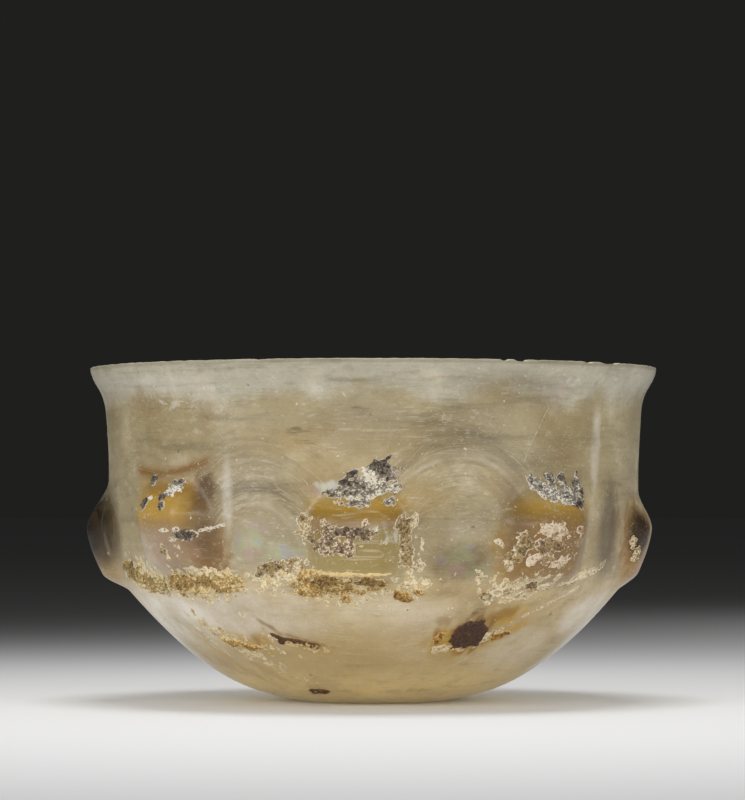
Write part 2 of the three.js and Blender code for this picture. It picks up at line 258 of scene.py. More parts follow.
class Profile:
    """One side of the wall, from the middle of the foot to the lip, measured by its length."""

    def __init__(self, sizes: VesselSizes, inset: bool) -> None:
        """Joins the curves of the profile.

        Args:
            sizes: The sizes of the glass.
            inset: True for the inner face, which lies a glass thickness inside the outer one.
        """
        stand = Knot(sizes.stand_radius, sizes.floor_glass * inset, sizes.stand_edge_tilt)
        across = math.radians(sizes.turn.tilt)
        turn = Knot(
            sizes.turn.radius - inset * sizes.turn_glass * math.sin(across),
            sizes.turn.height + inset * sizes.turn_glass * math.cos(across),
            sizes.turn.tilt,
        )
        wall = Knot(sizes.wall.radius - inset * sizes.wall_glass, sizes.wall.height, sizes.wall.tilt)
        neck = Knot(sizes.neck.radius - inset * sizes.wall_glass, sizes.neck.height, sizes.neck.tilt)
        lip = Knot(sizes.lip.radius - inset * sizes.lip_glass, sizes.lip.height, sizes.lip.tilt)
        runs = (
            (stand, turn, sizes.foot_hold),
            (turn, wall, sizes.shoulder_hold),
            (wall, neck, sizes.wall_hold),
            (neck, lip, sizes.flare_hold),
        )
        points = np.vstack([[[0, stand.height]]] + [self._curve(*run) for run in runs])
        fresh = np.r_[True, np.hypot(*np.diff(points, axis=0).T) > 0]
        self.points = points[fresh]
        self.lengths = np.r_[0, np.cumsum(np.hypot(*np.diff(self.points, axis=0).T))]
        self.length = float(self.lengths[-1])

    @staticmethod
    def _curve(start: Knot, end: Knot, hold: tuple[float, float], samples: int = 160) -> np.ndarray:
        """Points of the cubic curve between two knots."""
        first = np.array([start.radius, start.height])
        last = np.array([end.radius, end.height])
        chord = np.linalg.norm(last - first)
        leave = math.radians(start.tilt)
        arrive = math.radians(end.tilt)
        second = first + hold[0] * chord * np.array([math.cos(leave), math.sin(leave)])
        third = last - hold[1] * chord * np.array([math.cos(arrive), math.sin(arrive)])
        t = np.linspace(0, 1, samples)[:, None]
        near_start = (1 - t) ** 3 * first + 3 * (1 - t) ** 2 * t * second
        near_end = 3 * (1 - t) * t**2 * third + t**3 * last
        return near_start + near_end

    def at(self, along: np.ndarray) -> tuple[np.ndarray, np.ndarray]:
        """Points and outward normals, in radius and height, at lengths along the profile."""

        def spot(length: np.ndarray) -> np.ndarray:
            """The point at a length."""
            held = np.clip(length, 0, self.length)
            return np.stack([np.interp(held, self.lengths, self.points[:, k]) for k in (0, 1)], -1)

        step = self.length / 500
        run = spot(along + step) - spot(along - step)
        run /= np.linalg.norm(run, axis=-1, keepdims=True)
        return spot(along), np.stack([run[..., 1], -run[..., 0]], -1)


NO_QUADS = np.zeros((0, 4), int)


@dataclass
class Shape:
    """A mesh in the making: corners, four-sided faces and three-sided faces."""

    points: list[np.ndarray] = field(default_factory=list)
    quads: list[np.ndarray] = field(default_factory=list)
    triangles: list[np.ndarray] = field(default_factory=list)
    count: int = 0

    def add(self, points: np.ndarray, quads: np.ndarray, triangles: np.ndarray) -> None:
        """Adds a closed lump, whose corner numbers start at 0."""
        self.points.append(points)
        self.quads.append(quads + self.count)
        self.triangles.append(triangles + self.count)
        self.count += len(points)

    def add_rings(self, first: np.ndarray, rows: np.ndarray, last: np.ndarray) -> None:
        """Adds rings of points, joined in order and closed by a point at each end.

        Args:
            first: The point inside the first ring.
            rows: The rings, as rings by places by three.
            last: The point inside the last ring.
        """
        count, around = rows.shape[:2]
        index = 1 + np.arange(count * around).reshape(count, around)
        ahead = np.roll(index, -1, axis=1)
        quads = np.stack([index[:-1], ahead[:-1], ahead[1:], index[1:]], -1).reshape(-1, 4)
        start = np.stack([np.zeros(around, int), ahead[0], index[0]], -1)
        end = np.stack([np.full(around, 1 + count * around), index[-1], ahead[-1]], -1)
        points = np.vstack([first[None], rows.reshape(-1, 3), last[None]])
        self.add(points, quads, np.vstack([start, end]))

    def build(self, name: str) -> bpy.types.Object:
        """Makes the mesh object and links it to the scene."""
        points = np.vstack(self.points)
        quads = np.vstack(self.quads)
        triangles = np.vstack(self.triangles)
        corners = np.r_[quads.ravel(), triangles.ravel()]
        sizes = np.r_[np.full(len(quads), 4), np.full(len(triangles), 3)]
        mesh = bpy.data.meshes.new(name)
        mesh.vertices.add(len(points))
        mesh.vertices.foreach_set("co", points.astype(np.float32).ravel())
        mesh.loops.add(len(corners))
        mesh.loops.foreach_set("vertex_index", corners.astype(np.int32))
        mesh.polygons.add(len(sizes))
        mesh.polygons.foreach_set("loop_start", np.r_[0, np.cumsum(sizes)[:-1]].astype(np.int32))
        mesh.polygons.foreach_set("use_smooth", np.ones(len(sizes), bool))
        mesh.update(calc_edges=True)
        mesh.validate()
        thing = bpy.data.objects.new(name, mesh)
        bpy.context.scene.collection.objects.link(thing)
        return thing


def add_mask(thing: bpy.types.Object, name: str, values: np.ndarray) -> None:
    """Writes one number for each corner of a mesh, for its material to read by name."""
    attribute = thing.data.attributes.new(name, "FLOAT", "POINT")
    attribute.data.foreach_set("value", values.astype(np.float32).ravel())


def ride_as(piece: bpy.types.Object, slot: str, *nodes: str) -> bpy.types.Object:
    """Gives a piece its body and hides the CAD nodes that it stands for."""
    if nodes:
        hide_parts(*nodes)
    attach(piece, BODY)
    return piece


class Tree:
    """Adds nodes to a material or group and joins their sockets."""

    def __init__(self, tree: bpy.types.NodeTree) -> None:
        """Keeps the tree that nodes are added to."""
        self.tree = tree

    def feed(self, socket: bpy.types.NodeSocket, value: object) -> None:
        """Joins a socket to an output, or sets it to a value."""
        if isinstance(value, bpy.types.NodeSocket):
            self.tree.links.new(value, socket)
        else:
            socket.default_value = value

    def fill(self, node: bpy.types.Node, inputs: dict[str, object]) -> None:
        """Joins or sets some inputs of a node, by name or number."""
        for name, value in inputs.items():
            self.feed(node.inputs[name], value)

    def add(self, kind: str, inputs: dict[str, object] | None = None, **settings: object) -> bpy.types.Node:
        """Adds a node.

        Args:
            kind: Type of the node, without its ShaderNode prefix.
            inputs: Values or output sockets for the node's inputs, by name or number.
            **settings: Properties of the node.

        Returns:
            The new node.
        """
        node = self.tree.nodes.new("ShaderNode" + kind)
        for name, value in settings.items():
            setattr(node, name, value)
        self.fill(node, inputs or {})
        return node

    def math(self, operation: str, first: object, second: object = 0.0) -> bpy.types.NodeSocket:
        """The result of a sum on two numbers or sockets."""
        return self.add("Math", {0: first, 1: second}, operation=operation).outputs[0]

    def product(self, *values: object) -> bpy.types.NodeSocket:
        """The product of numbers or sockets."""
        total = values[0]
        for value in values[1:]:
            total = self.math("MULTIPLY", total, value)
        return total

    def cover(self, *values: object) -> bpy.types.NodeSocket:
        """The largest of some masks."""
        total = values[0]
        for value in values[1:]:
            total = self.math("MAXIMUM", total, value)
        return total

    def mix(self, share: object, first: object, second: object) -> bpy.types.NodeSocket:
        """A colour between two colours."""
        return self.add("Mix", {0: share, 6: first, 7: second}, data_type="RGBA").outputs[2]

    def ramp(self, value: object, low: object, high: object, top: float = 1.0) -> bpy.types.NodeSocket:
        """A smooth held ramp from 0 at low to top at high."""
        limits = {"Value": value, "From Min": low, "From Max": high, "To Max": top}
        return self.add("MapRange", limits, clamp=True, interpolation_type="SMOOTHSTEP").outputs[0]

    def tint(self, colour: object, shade: object, *shares: object) -> bpy.types.NodeSocket:
        """A colour that turns to a shade by the product of some shares."""
        return self.mix(self.product(*shares), colour, shade)

    def wash(
        self, colour: object, shade: object, value: object, low: object, high: object, top: float = 1.0
    ) -> bpy.types.NodeSocket:
        """A colour that turns to a shade as a value goes from low to high, up to a share of top."""
        return self.mix(self.ramp(value, low, high, top), colour, shade)

    def noise(
        self, place: object, scale: object, detail: float = 4.0, rough: float = 0.6
    ) -> bpy.types.NodeSocket:
        """A noise value at a place."""
        inputs = {"Vector": place, "Scale": scale, "Detail": detail, "Roughness": rough}
        return self.add("TexNoise", inputs).outputs["Fac"]

    def stretch(
        self, place: object, *scale: float, turn: tuple[float, ...] = (0, 0, 0)
    ) -> bpy.types.NodeSocket:
        """A place that is turned and then stretched along its axes."""
        inputs = {"Vector": place, "Rotation": turn, "Scale": scale}
        return self.add("Mapping", inputs).outputs[0]

    def bump(self, height: object, strength: float) -> bpy.types.NodeSocket:
        """A surface direction that follows a height."""
        inputs = {"Height": height, "Strength": strength, "Distance": 0.3 * MM}
        return self.add("Bump", inputs).outputs["Normal"]

    def mask(self, name: str) -> bpy.types.NodeSocket:
        """A number that the mesh holds at its corners."""
        return self.add("Attribute", attribute_name=name).outputs["Fac"]


class Group:
    """A shared effect as a node group that is built once."""

    name: str = ""
    inputs: tuple[tuple[str, str, object], ...] = ()
    outputs: tuple[tuple[str, str], ...] = ()

    def wire(self, nodes: Tree, entry: bpy.types.Node) -> tuple[object, ...]:
        """Adds the group's nodes and returns what feeds its outputs, in order."""
        raise NotImplementedError

    def tree(self) -> bpy.types.NodeTree:
        """The group's tree, built on first use."""
        if self.name in bpy.data.node_groups:
            return bpy.data.node_groups[self.name]
        tree = bpy.data.node_groups.new(self.name, "ShaderNodeTree")
        for name, kind, value in self.inputs:
            socket = tree.interface.new_socket(name, in_out="INPUT", socket_type="NodeSocket" + kind)
            if value is not None:
                socket.default_value = value
        for name, kind in self.outputs:
            tree.interface.new_socket(name, in_out="OUTPUT", socket_type="NodeSocket" + kind)
        nodes = Tree(tree)
        entry = tree.nodes.new("NodeGroupInput")
        made = self.wire(nodes, entry)
        leave = tree.nodes.new("NodeGroupOutput")
        for (name, _), value in zip(self.outputs, made):
            nodes.feed(leave.inputs[name], value)
        return tree

    def place(self, nodes: Tree, **values: object) -> tuple[bpy.types.NodeSocket, ...]:
        """Places the group in a material, with its own values, and returns its outputs."""
        node = nodes.tree.nodes.new("ShaderNodeGroup")
        node.node_tree = self.tree()
        nodes.fill(node, values)
        return tuple(node.outputs)


def shake(nodes: Tree, place: object, scale: object, reach: float) -> bpy.types.NodeSocket:
    """A place that is shaken at random, up to about half a reach in metres each way."""
    wavy = nodes.add("TexNoise", {"Vector": place, "Scale": scale}).outputs["Color"]
    moved = nodes.add("VectorMath", {0: wavy, 1: (reach, reach, reach)}, operation="MULTIPLY")
    return nodes.add("VectorMath", {0: place, 1: moved.outputs[0]}, operation="ADD").outputs[0]


class Granules(Group):
    """A mineral crust of small ragged grains, dark, middling or pale, and darker where its tone is low."""

    name = "granules"
    inputs = (
        ("Place", "Vector", None),
        ("Tone", "Float", 0.5),
        ("Low", "Color", None),
        ("Middle", "Color", None),
        ("High", "Color", None),
        ("Scale", "Float", 1800.0),
    )
    outputs = (("Color", "Color"), ("Height", "Float"))

    def wire(self, nodes: Tree, entry: bpy.types.Node) -> tuple[object, ...]:
        """Adds the drift, the grains and the colours."""
        place, tone, low, middle, high, scale = entry.outputs[:6]
        patches = nodes.noise(place, nodes.math("MULTIPLY", scale, 0.22), 6.0, 0.7)
        ragged = shake(nodes, place, nodes.math("MULTIPLY", scale, 1.4), 0.0007)
        cells = nodes.add("TexVoronoi", {"Vector": ragged, "Scale": scale})
        drawn = nodes.add("SeparateColor", {"Color": cells.outputs["Color"]}).outputs[0]
        value = nodes.math("ADD", tone, nodes.product(nodes.math("SUBTRACT", patches, 0.5), 2.2))
        light = nodes.math("ADD", value, nodes.product(nodes.math("SUBTRACT", drawn, 0.5), 0.85))
        colour = nodes.wash(middle, high, light, 0.62, 1.02)
        return nodes.wash(colour, low, light, 0.3, 0.08, 0.92), light


class Broken(Group):
    """A mask broken into ragged islands, with the line along their edges."""

    name = "broken"
    inputs = (
        ("Place", "Vector", None),
        ("Mask", "Float", 0.0),
        ("Scale", "Float", 300.0),
        ("Soft", "Float", 0.03),
    )
    outputs = (("Cover", "Float"), ("Line", "Float"))

    def wire(self, nodes: Tree, entry: bpy.types.Node) -> tuple[object, ...]:
        """Adds the noise and cuts it at a level that the mask sets."""
        place, mask, scale, soft = entry.outputs[:4]
        ragged = nodes.noise(place, scale, 6.0, 0.66)
        level = nodes.math("SUBTRACT", 0.74, nodes.product(mask, 0.46))
        above = nodes.math("SUBTRACT", ragged, level)
        covered = nodes.ramp(above, 0.0, soft)
        there = nodes.ramp(mask, 0.0, 0.06)
        inner = nodes.ramp(above, nodes.math("ADD", soft, 0.012), nodes.math("ADD", soft, 0.03))
        whole = nodes.product(covered, there)
        return whole, nodes.product(whole, nodes.math("SUBTRACT", 1.0, inner))


class Specks(Group):
    """Small dots of mixed sizes or, on a stretched place, short scratches: a mask."""

    name = "specks"
    inputs = (
        ("Place", "Vector", None),
        ("Scale", "Float", 300.0),
        ("Size", "Float", 0.2),
        ("Share", "Float", 0.3),
    )
    outputs = (("Mask", "Float"),)

    def wire(self, nodes: Tree, entry: bpy.types.Node) -> tuple[object, ...]:
        """Adds the cells and keeps a share of them, each at a size of its own."""
        place, scale, size, share = entry.outputs[:4]
        cells = nodes.add("TexVoronoi", {"Vector": place, "Scale": scale})
        drawn = nodes.add("SeparateColor", {"Color": cells.outputs["Color"]}).outputs
        reach = nodes.product(size, nodes.math("ADD", drawn[1], 0.25))
        off = nodes.ramp(cells.outputs["Distance"], nodes.product(reach, 0.6), reach)
        near = nodes.math("SUBTRACT", 1.0, off)
        return (nodes.product(near, nodes.math("LESS_THAN", drawn[0], share)),)


class Hairlines(Group):
    """Curling hair-thin lines, in patches: a mask."""

    name = "hairlines"
    inputs = (
        ("Place", "Vector", None),
        ("Scale", "Float", 120.0),
        ("Width", "Float", 0.01),
        ("Share", "Float", 0.5),
    )
    outputs = (("Mask", "Float"),)

    def wire(self, nodes: Tree, entry: bpy.types.Node) -> tuple[object, ...]:
        """Draws the line along which a noise has its middle value."""
        place, scale, width, share = entry.outputs[:4]
        off = nodes.math("ABSOLUTE", nodes.math("SUBTRACT", nodes.noise(place, scale, 3.0, 0.7), 0.5))
        line = nodes.math("SUBTRACT", 1.0, nodes.ramp(off, nodes.product(width, 0.3), width))
        limit = nodes.math("SUBTRACT", 0.72, nodes.product(share, 0.4))
        shown = nodes.noise(place, nodes.product(scale, 0.9), 4.0)
        return (nodes.product(line, nodes.ramp(shown, limit, nodes.math("ADD", limit, 0.08))),)


def new_material(name: str) -> tuple[bpy.types.Material, Tree, bpy.types.Node]:
    """Makes a material with one Principled shader and returns it, its tree and the shader."""
    material = bpy.data.materials.new(name)
    material.use_nodes = True
    return material, Tree(material.node_tree), material.node_tree.nodes["Principled BSDF"]


@dataclass(frozen=True)
class ClearGlass:
    """The glass itself: straw coloured and clear, amber where a rib is thick."""

    straw: Colour = srgb(236, 226, 192)
    amber: Colour = srgb(206, 160, 88)
    roughness: float = 0.06
    ior: float = 1.48

    def material(self) -> bpy.types.Material:
        """Builds the material."""
        material, nodes, shader = new_material("straw_glass")
        colour = nodes.tint(self.straw, self.amber, nodes.mask("rib"), 0.8)
        clear = {"Roughness": self.roughness, "Transmission Weight": 1.0, "IOR": self.ior}
        nodes.fill(shader, {"Base Color": colour, **clear})
        return material


class StainAndPaintedLightKind(Enum):
    """What stains the skin, or paints light and shade on it, named as its mask is."""

    OCHRE = "ochre"
    AMBER = "amber"
    GOLD = "gold"
    BROWN = "brown"
    DARK = "dark"
    SMOKE = "smoke"
    MAUVE = "mauve"
    SCUM = "scum"
    MILK = "milk"
    HAZE = "haze"
    SMUDGE = "smudge"
    RAINBOW = "rainbow"
    WORN = "worn"


@dataclass(frozen=True)
class WeatheringAndPaintedLight:
    """The thin skin of weathering on both faces: milky, streaked, stained and scratched, with painted shade
    on the ribs, painted darkness where the side ribs are seen through, a painted glint and a painted glow at
    the foot.
    """

    wall: Colour = srgb(177, 161, 122)
    rim: Colour = srgb(188, 181, 160)
    # Low and foot are the glass's own milky and amber colours, made paler towards the foot as a painted glow
    # of light that comes through the glass.
    low: Colour = srgb(213, 189, 141)
    foot: Colour = srgb(255, 226, 156)
    tan: Colour = srgb(148, 122, 78)
    olive: Colour = srgb(112, 100, 68)
    pale: Colour = srgb(226, 216, 188)
    shades: tuple[tuple[StainAndPaintedLightKind, float, Colour], ...] = (
        (StainAndPaintedLightKind.OCHRE, 0.8, srgb(180, 150, 88)),
        (StainAndPaintedLightKind.GOLD, 0.9, srgb(140, 118, 40)),
        (StainAndPaintedLightKind.AMBER, 0.95, srgb(178, 138, 36)),
        (StainAndPaintedLightKind.BROWN, 0.95, srgb(128, 88, 22)),
        # This dark brown serves both darker stains and the painted shade down the ribs' sides.
        (StainAndPaintedLightKind.DARK, 0.9, srgb(82, 56, 22)),
        (StainAndPaintedLightKind.MAUVE, 0.6, srgb(156, 124, 102)),
    )
    milk: Colour = srgb(222, 217, 208)
    haze: Colour = srgb(244, 238, 226)
    # This near-black colour is painted darkness: the dark backdrop seen through the clear glass of the side
    # ribs, and shade beside the right rib.
    smoke: Colour = srgb(30, 23, 17)
    spot: Colour = srgb(92, 72, 42)
    scum: tuple[Colour, Colour, Colour] = (srgb(100, 80, 52), srgb(192, 168, 118), srgb(228, 214, 178))
    scum_line: Colour = srgb(234, 224, 198)
    mark: Colour = srgb(236, 228, 208)
    pink: Colour = srgb(222, 176, 190)
    green: Colour = srgb(188, 212, 158)
    blue: Colour = srgb(180, 188, 222)
    lip: Colour = srgb(228, 218, 182)
    cover: float = 0.72
    inner_cover: float = 0.52
    low_loss: float = 0.12

    def material(self) -> bpy.types.Material:
        """Builds the material."""
        material, nodes, shader = new_material("weathering_and_painted_light_skin")
        place = nodes.add("TexCoord").outputs["Object"]
        height = nodes.add("SeparateXYZ", {"Vector": place}).outputs["Z"]
        cloud = nodes.noise(place, 60.0, 5.0)
        mottle = nodes.noise(nodes.stretch(place, 1.0, 1.0, 2.0), 230.0, 6.0, 0.65)
        grain = nodes.noise(nodes.stretch(place, 1.0, 1.0, 1.6), 1500.0, 4.0, 0.75)
        colour = self._ground(nodes, place, height, cloud, mottle)
        colour = self._panel_lines(nodes, place, cloud, colour)
        colour = nodes.tint(colour, self.haze, nodes.mask("haze"), nodes.ramp(cloud, 0.2, 0.6))
        for kind, strength, shade in self.shades:
            share = nodes.product(nodes.mask(kind.value), nodes.ramp(mottle, 0.15, 0.5), strength)
            colour = nodes.mix(share, colour, shade)
        colour, smears = self._smears(nodes, place, colour)
        colour = self._rainbow(nodes, place, colour)
        colour, scum = self._scum(nodes, place, colour)
        marks, spots = self._marks(nodes, place)
        colour = nodes.tint(colour, self.spot, spots, 0.55)
        colour = nodes.tint(colour, self.mark, marks, 0.7)
        # Painted shade: a thin darker olive band just under the lip.
        under_lip_shade = nodes.product(nodes.ramp(height, 80.7 * MM, 81.4 * MM), 0.35)
        colour = nodes.mix(under_lip_shade, colour, self.olive)
        colour = nodes.mix(nodes.mask("lip"), colour, self.lip)
        colour = nodes.wash(colour, self.olive, grain, 0.5, 0.32, 0.16)
        colour = nodes.wash(colour, self.pale, grain, 0.56, 0.76, 0.4)
        # Painted darkness where the side ribs show the dark backdrop through the glass, and painted shade
        # beside the right rib.
        smoke = nodes.mask("smoke")
        colour = nodes.tint(colour, self.smoke, smoke, nodes.ramp(marks, 1.6, 0.0))
        left = self._left(nodes, height, cloud)
        relief = nodes.math("ADD", nodes.product(grain, 0.5), nodes.product(scum, 0.5))
        looks = {
            "Base Color": colour,
            "Alpha": nodes.cover(left, scum, smears, nodes.mask("lip")),
            "Roughness": nodes.math("ADD", nodes.ramp(cloud, 0.3, 0.7, 0.2), 0.34),
            "Normal": nodes.bump(relief, 0.4),
            "Sheen Weight": 0.12,
            "Sheen Roughness": 0.4,
            "Coat Weight": nodes.ramp(smoke, 1.1, 0.0, 0.3),
            "Coat Roughness": 0.2,
        }
        nodes.fill(shader, looks)
        return material

    def _ground(
        self, nodes: Tree, place: object, height: object, cloud: object, mottle: object
    ) -> bpy.types.NodeSocket:
        """The plain colour of the skin, which changes with the height and has clouds and streaks; near the
        foot it is paler, partly a painted glow of light through the glass.
        """
        above = nodes.ramp(height, 6 * MM, 30 * MM)
        tide = nodes.math("ADD", height, nodes.product(nodes.math("SUBTRACT", cloud, 0.5), 20 * MM))
        # Paler towards the foot: the glass's amber, and a painted glow of light through it.
        colour = nodes.wash(self.foot, self.low, height, 3 * MM, 12 * MM)
        colour = nodes.wash(colour, self.wall, tide, 24 * MM, 38 * MM)
        clouds = nodes.ramp(nodes.noise(place, 34.0, 5.0), 0.46, 0.68, 0.5)
        colour = nodes.tint(colour, self.tan, clouds, above)
        colour = nodes.wash(colour, self.rim, tide, 70 * MM, 77 * MM)
        colour = nodes.wash(colour, self.pale, cloud, 0.52, 0.75, 0.4)
        streaks = nodes.noise(nodes.stretch(place, 1.0, 1.0, 8.0), 30.0, 5.0)
        colour = nodes.tint(colour, self.olive, nodes.ramp(streaks, 0.48, 0.3, 0.45), above)
        colour = nodes.wash(colour, self.olive, mottle, 0.5, 0.32, 0.24)
        return nodes.wash(colour, self.pale, mottle, 0.55, 0.72, 0.35)

    def _left(self, nodes: Tree, height: object, cloud: object) -> bpy.types.NodeSocket:
        """How much of the skin is left: less inside, at worn places and near the foot, more at stains."""
        whole = nodes.math("ADD", nodes.ramp(cloud, 0.2, 0.8, 0.2), self.cover)
        inside = nodes.add("Mix", {0: nodes.mask("inside"), 2: whole, 3: self.inner_cover}, data_type="FLOAT")
        left = nodes.math("SUBTRACT", inside.outputs[0], nodes.mask("worn"))
        left = nodes.math("SUBTRACT", left, nodes.ramp(height, 34 * MM, 6 * MM, self.low_loss))
        thick = nodes.cover(*(nodes.mask(name) for name in ("brown", "amber", "gold", "smoke")))
        return nodes.math("ADD", left, nodes.product(thick, 0.2))

    def _panel_lines(self, nodes: Tree, place: object, cloud: object, colour: object) -> bpy.types.NodeSocket:
        """The fine arched lines that the tool left between the ribs, and fine level ones everywhere."""
        sweep = nodes.product(nodes.mask("sweep"), 0.12)
        bent = nodes.add("CombineXYZ", {"X": nodes.mask("flow"), "Y": sweep})
        lined = nodes.mask("lined")
        broad = nodes.noise(bent.outputs[0], 420.0, 3.0, 0.6)
        fine = nodes.noise(bent.outputs[0], 1500.0, 2.0, 0.5)
        level = nodes.noise(nodes.stretch(place, 1.0, 1.0, 22.0), 60.0, 5.0, 0.7)
        dull = nodes.product(nodes.mask("dull"), nodes.ramp(broad, 0.65, 0.35), 0.4)
        colour = nodes.mix(dull, colour, self.olive)
        colour = nodes.tint(colour, self.olive, nodes.ramp(broad, 0.5, 0.34), lined, 0.32)
        colour = nodes.tint(colour, self.pale, nodes.ramp(broad, 0.56, 0.64), lined, 0.1)
        fresh = nodes.product(nodes.ramp(fine, 0.56, 0.62), lined, nodes.ramp(cloud, 0.35, 0.55))
        colour = nodes.tint(colour, self.pale, fresh, 0.24)
        arch = nodes.product(nodes.mask("arch"), nodes.ramp(fine, 0.3, 0.5))
        colour = nodes.tint(colour, self.milk, arch, 0.25)
        colour = nodes.wash(colour, self.olive, level, 0.45, 0.3, 0.3)
        off_ribs = nodes.ramp(nodes.mask("rib"), 0.6, 0.2)
        return nodes.tint(colour, self.pale, nodes.ramp(level, 0.58, 0.72, 0.14), off_ribs)

    def _smears(self, nodes: Tree, place: object, colour: object) -> tuple[object, object]:
        """Broken white smears and dark smudges."""
        swept = nodes.stretch(place, 1.0, 1.0, 0.5, turn=(0.2, 0.7, 0.1))
        milk, _ = Broken().place(nodes, Place=swept, Mask=nodes.mask("milk"), Scale=420.0, Soft=0.2)
        colour = nodes.tint(colour, self.milk, milk, 0.55)
        level = nodes.stretch(place, 1.0, 1.0, 9.0)
        smudge, _ = Broken().place(nodes, Place=level, Mask=nodes.mask("smudge"), Scale=150.0, Soft=0.4)
        return nodes.tint(colour, self.spot, smudge, 0.62), nodes.product(milk, 0.85)

    def _rainbow(self, nodes: Tree, place: object, colour: object) -> bpy.types.NodeSocket:
        """Faint bands of pink, green and blue where the skin peels."""
        hue = nodes.noise(place, 170.0, 3.0)
        tint = nodes.wash(self.pink, self.green, hue, 0.38, 0.48)
        tint = nodes.wash(tint, self.blue, hue, 0.52, 0.62)
        shown = nodes.ramp(nodes.noise(place, 110.0, 2.0), 0.4, 0.6, 0.42)
        return nodes.tint(colour, tint, nodes.mask("rainbow"), shown)

    def _scum(self, nodes: Tree, place: object, colour: object) -> tuple[object, object]:
        """Flat islands of tan mineral scum with pale edges."""
        cover, line = Broken().place(nodes, Place=place, Mask=nodes.mask("scum"), Scale=420.0, Soft=0.02)
        low, middle, high = self.scum
        grains, _ = Granules().place(
            nodes, Place=place, Tone=0.6, Low=low, Middle=middle, High=high, Scale=2300.0
        )
        colour = nodes.mix(cover, colour, grains)
        return nodes.tint(colour, self.scum_line, line, 0.75), cover

    def _marks(self, nodes: Tree, place: object) -> tuple[object, object]:
        """Pale specks with a few long hairlines, and brown spots."""
        ragged = shake(nodes, place, 1100.0, 0.0014)
        (marks,) = Specks().place(nodes, Place=ragged, Scale=640.0, Size=0.2, Share=0.08)
        (dust,) = Specks().place(nodes, Place=ragged, Scale=1500.0, Size=0.3, Share=0.06)
        (spots,) = Specks().place(nodes, Place=ragged, Scale=420.0, Size=0.2, Share=0.05)
        (curls,) = Hairlines().place(nodes, Place=place, Scale=55.0, Width=0.005, Share=0.3)
        marks = nodes.cover(marks, nodes.product(dust, 0.6), nodes.product(curls, 0.6))
        where = nodes.ramp(nodes.noise(place, 80.0, 3.0), 0.42, 0.58, 0.3)
        for turn in (0.15, 0.9, -0.8):
            lines = nodes.noise(nodes.stretch(place, 0.05, 1.0, 1.0, turn=(0.1, turn, 0.3)), 1300.0, 2.0, 0.5)
            marks = nodes.cover(marks, nodes.product(nodes.ramp(lines, 0.62, 0.7), where))
        return marks, spots


@dataclass(frozen=True)
class Patch:
    """A soft patch on the wall, of stain or of painted light and shade.

    Its middle is an azimuth in degrees and a height in millimetres. Its half width runs round the wall and
    its half height up it, both in millimetres, and lean turns it in degrees.
    """

    azimuth: float
    height: float
    half_width: float
    half_height: float
    strength: float = 1.0
    lean: float = 0.0

    def cover(
        self, azimuth: np.ndarray, level: np.ndarray, radius: np.ndarray, ragged: np.ndarray
    ) -> np.ndarray:
        """How much of the patch lies at each place, 0 to 1."""
        across = np.radians(turn_between(azimuth, self.azimuth)) * radius / MM
        up = level / MM - self.height
        lean = math.radians(self.lean)
        along = (across * math.cos(lean) + up * math.sin(lean)) / self.half_width
        side = (up * math.cos(lean) - across * math.sin(lean)) / self.half_height
        return self.strength * (1 - smoothstep(np.hypot(along, side) + 0.25 * ragged, 0.4, 1.2))


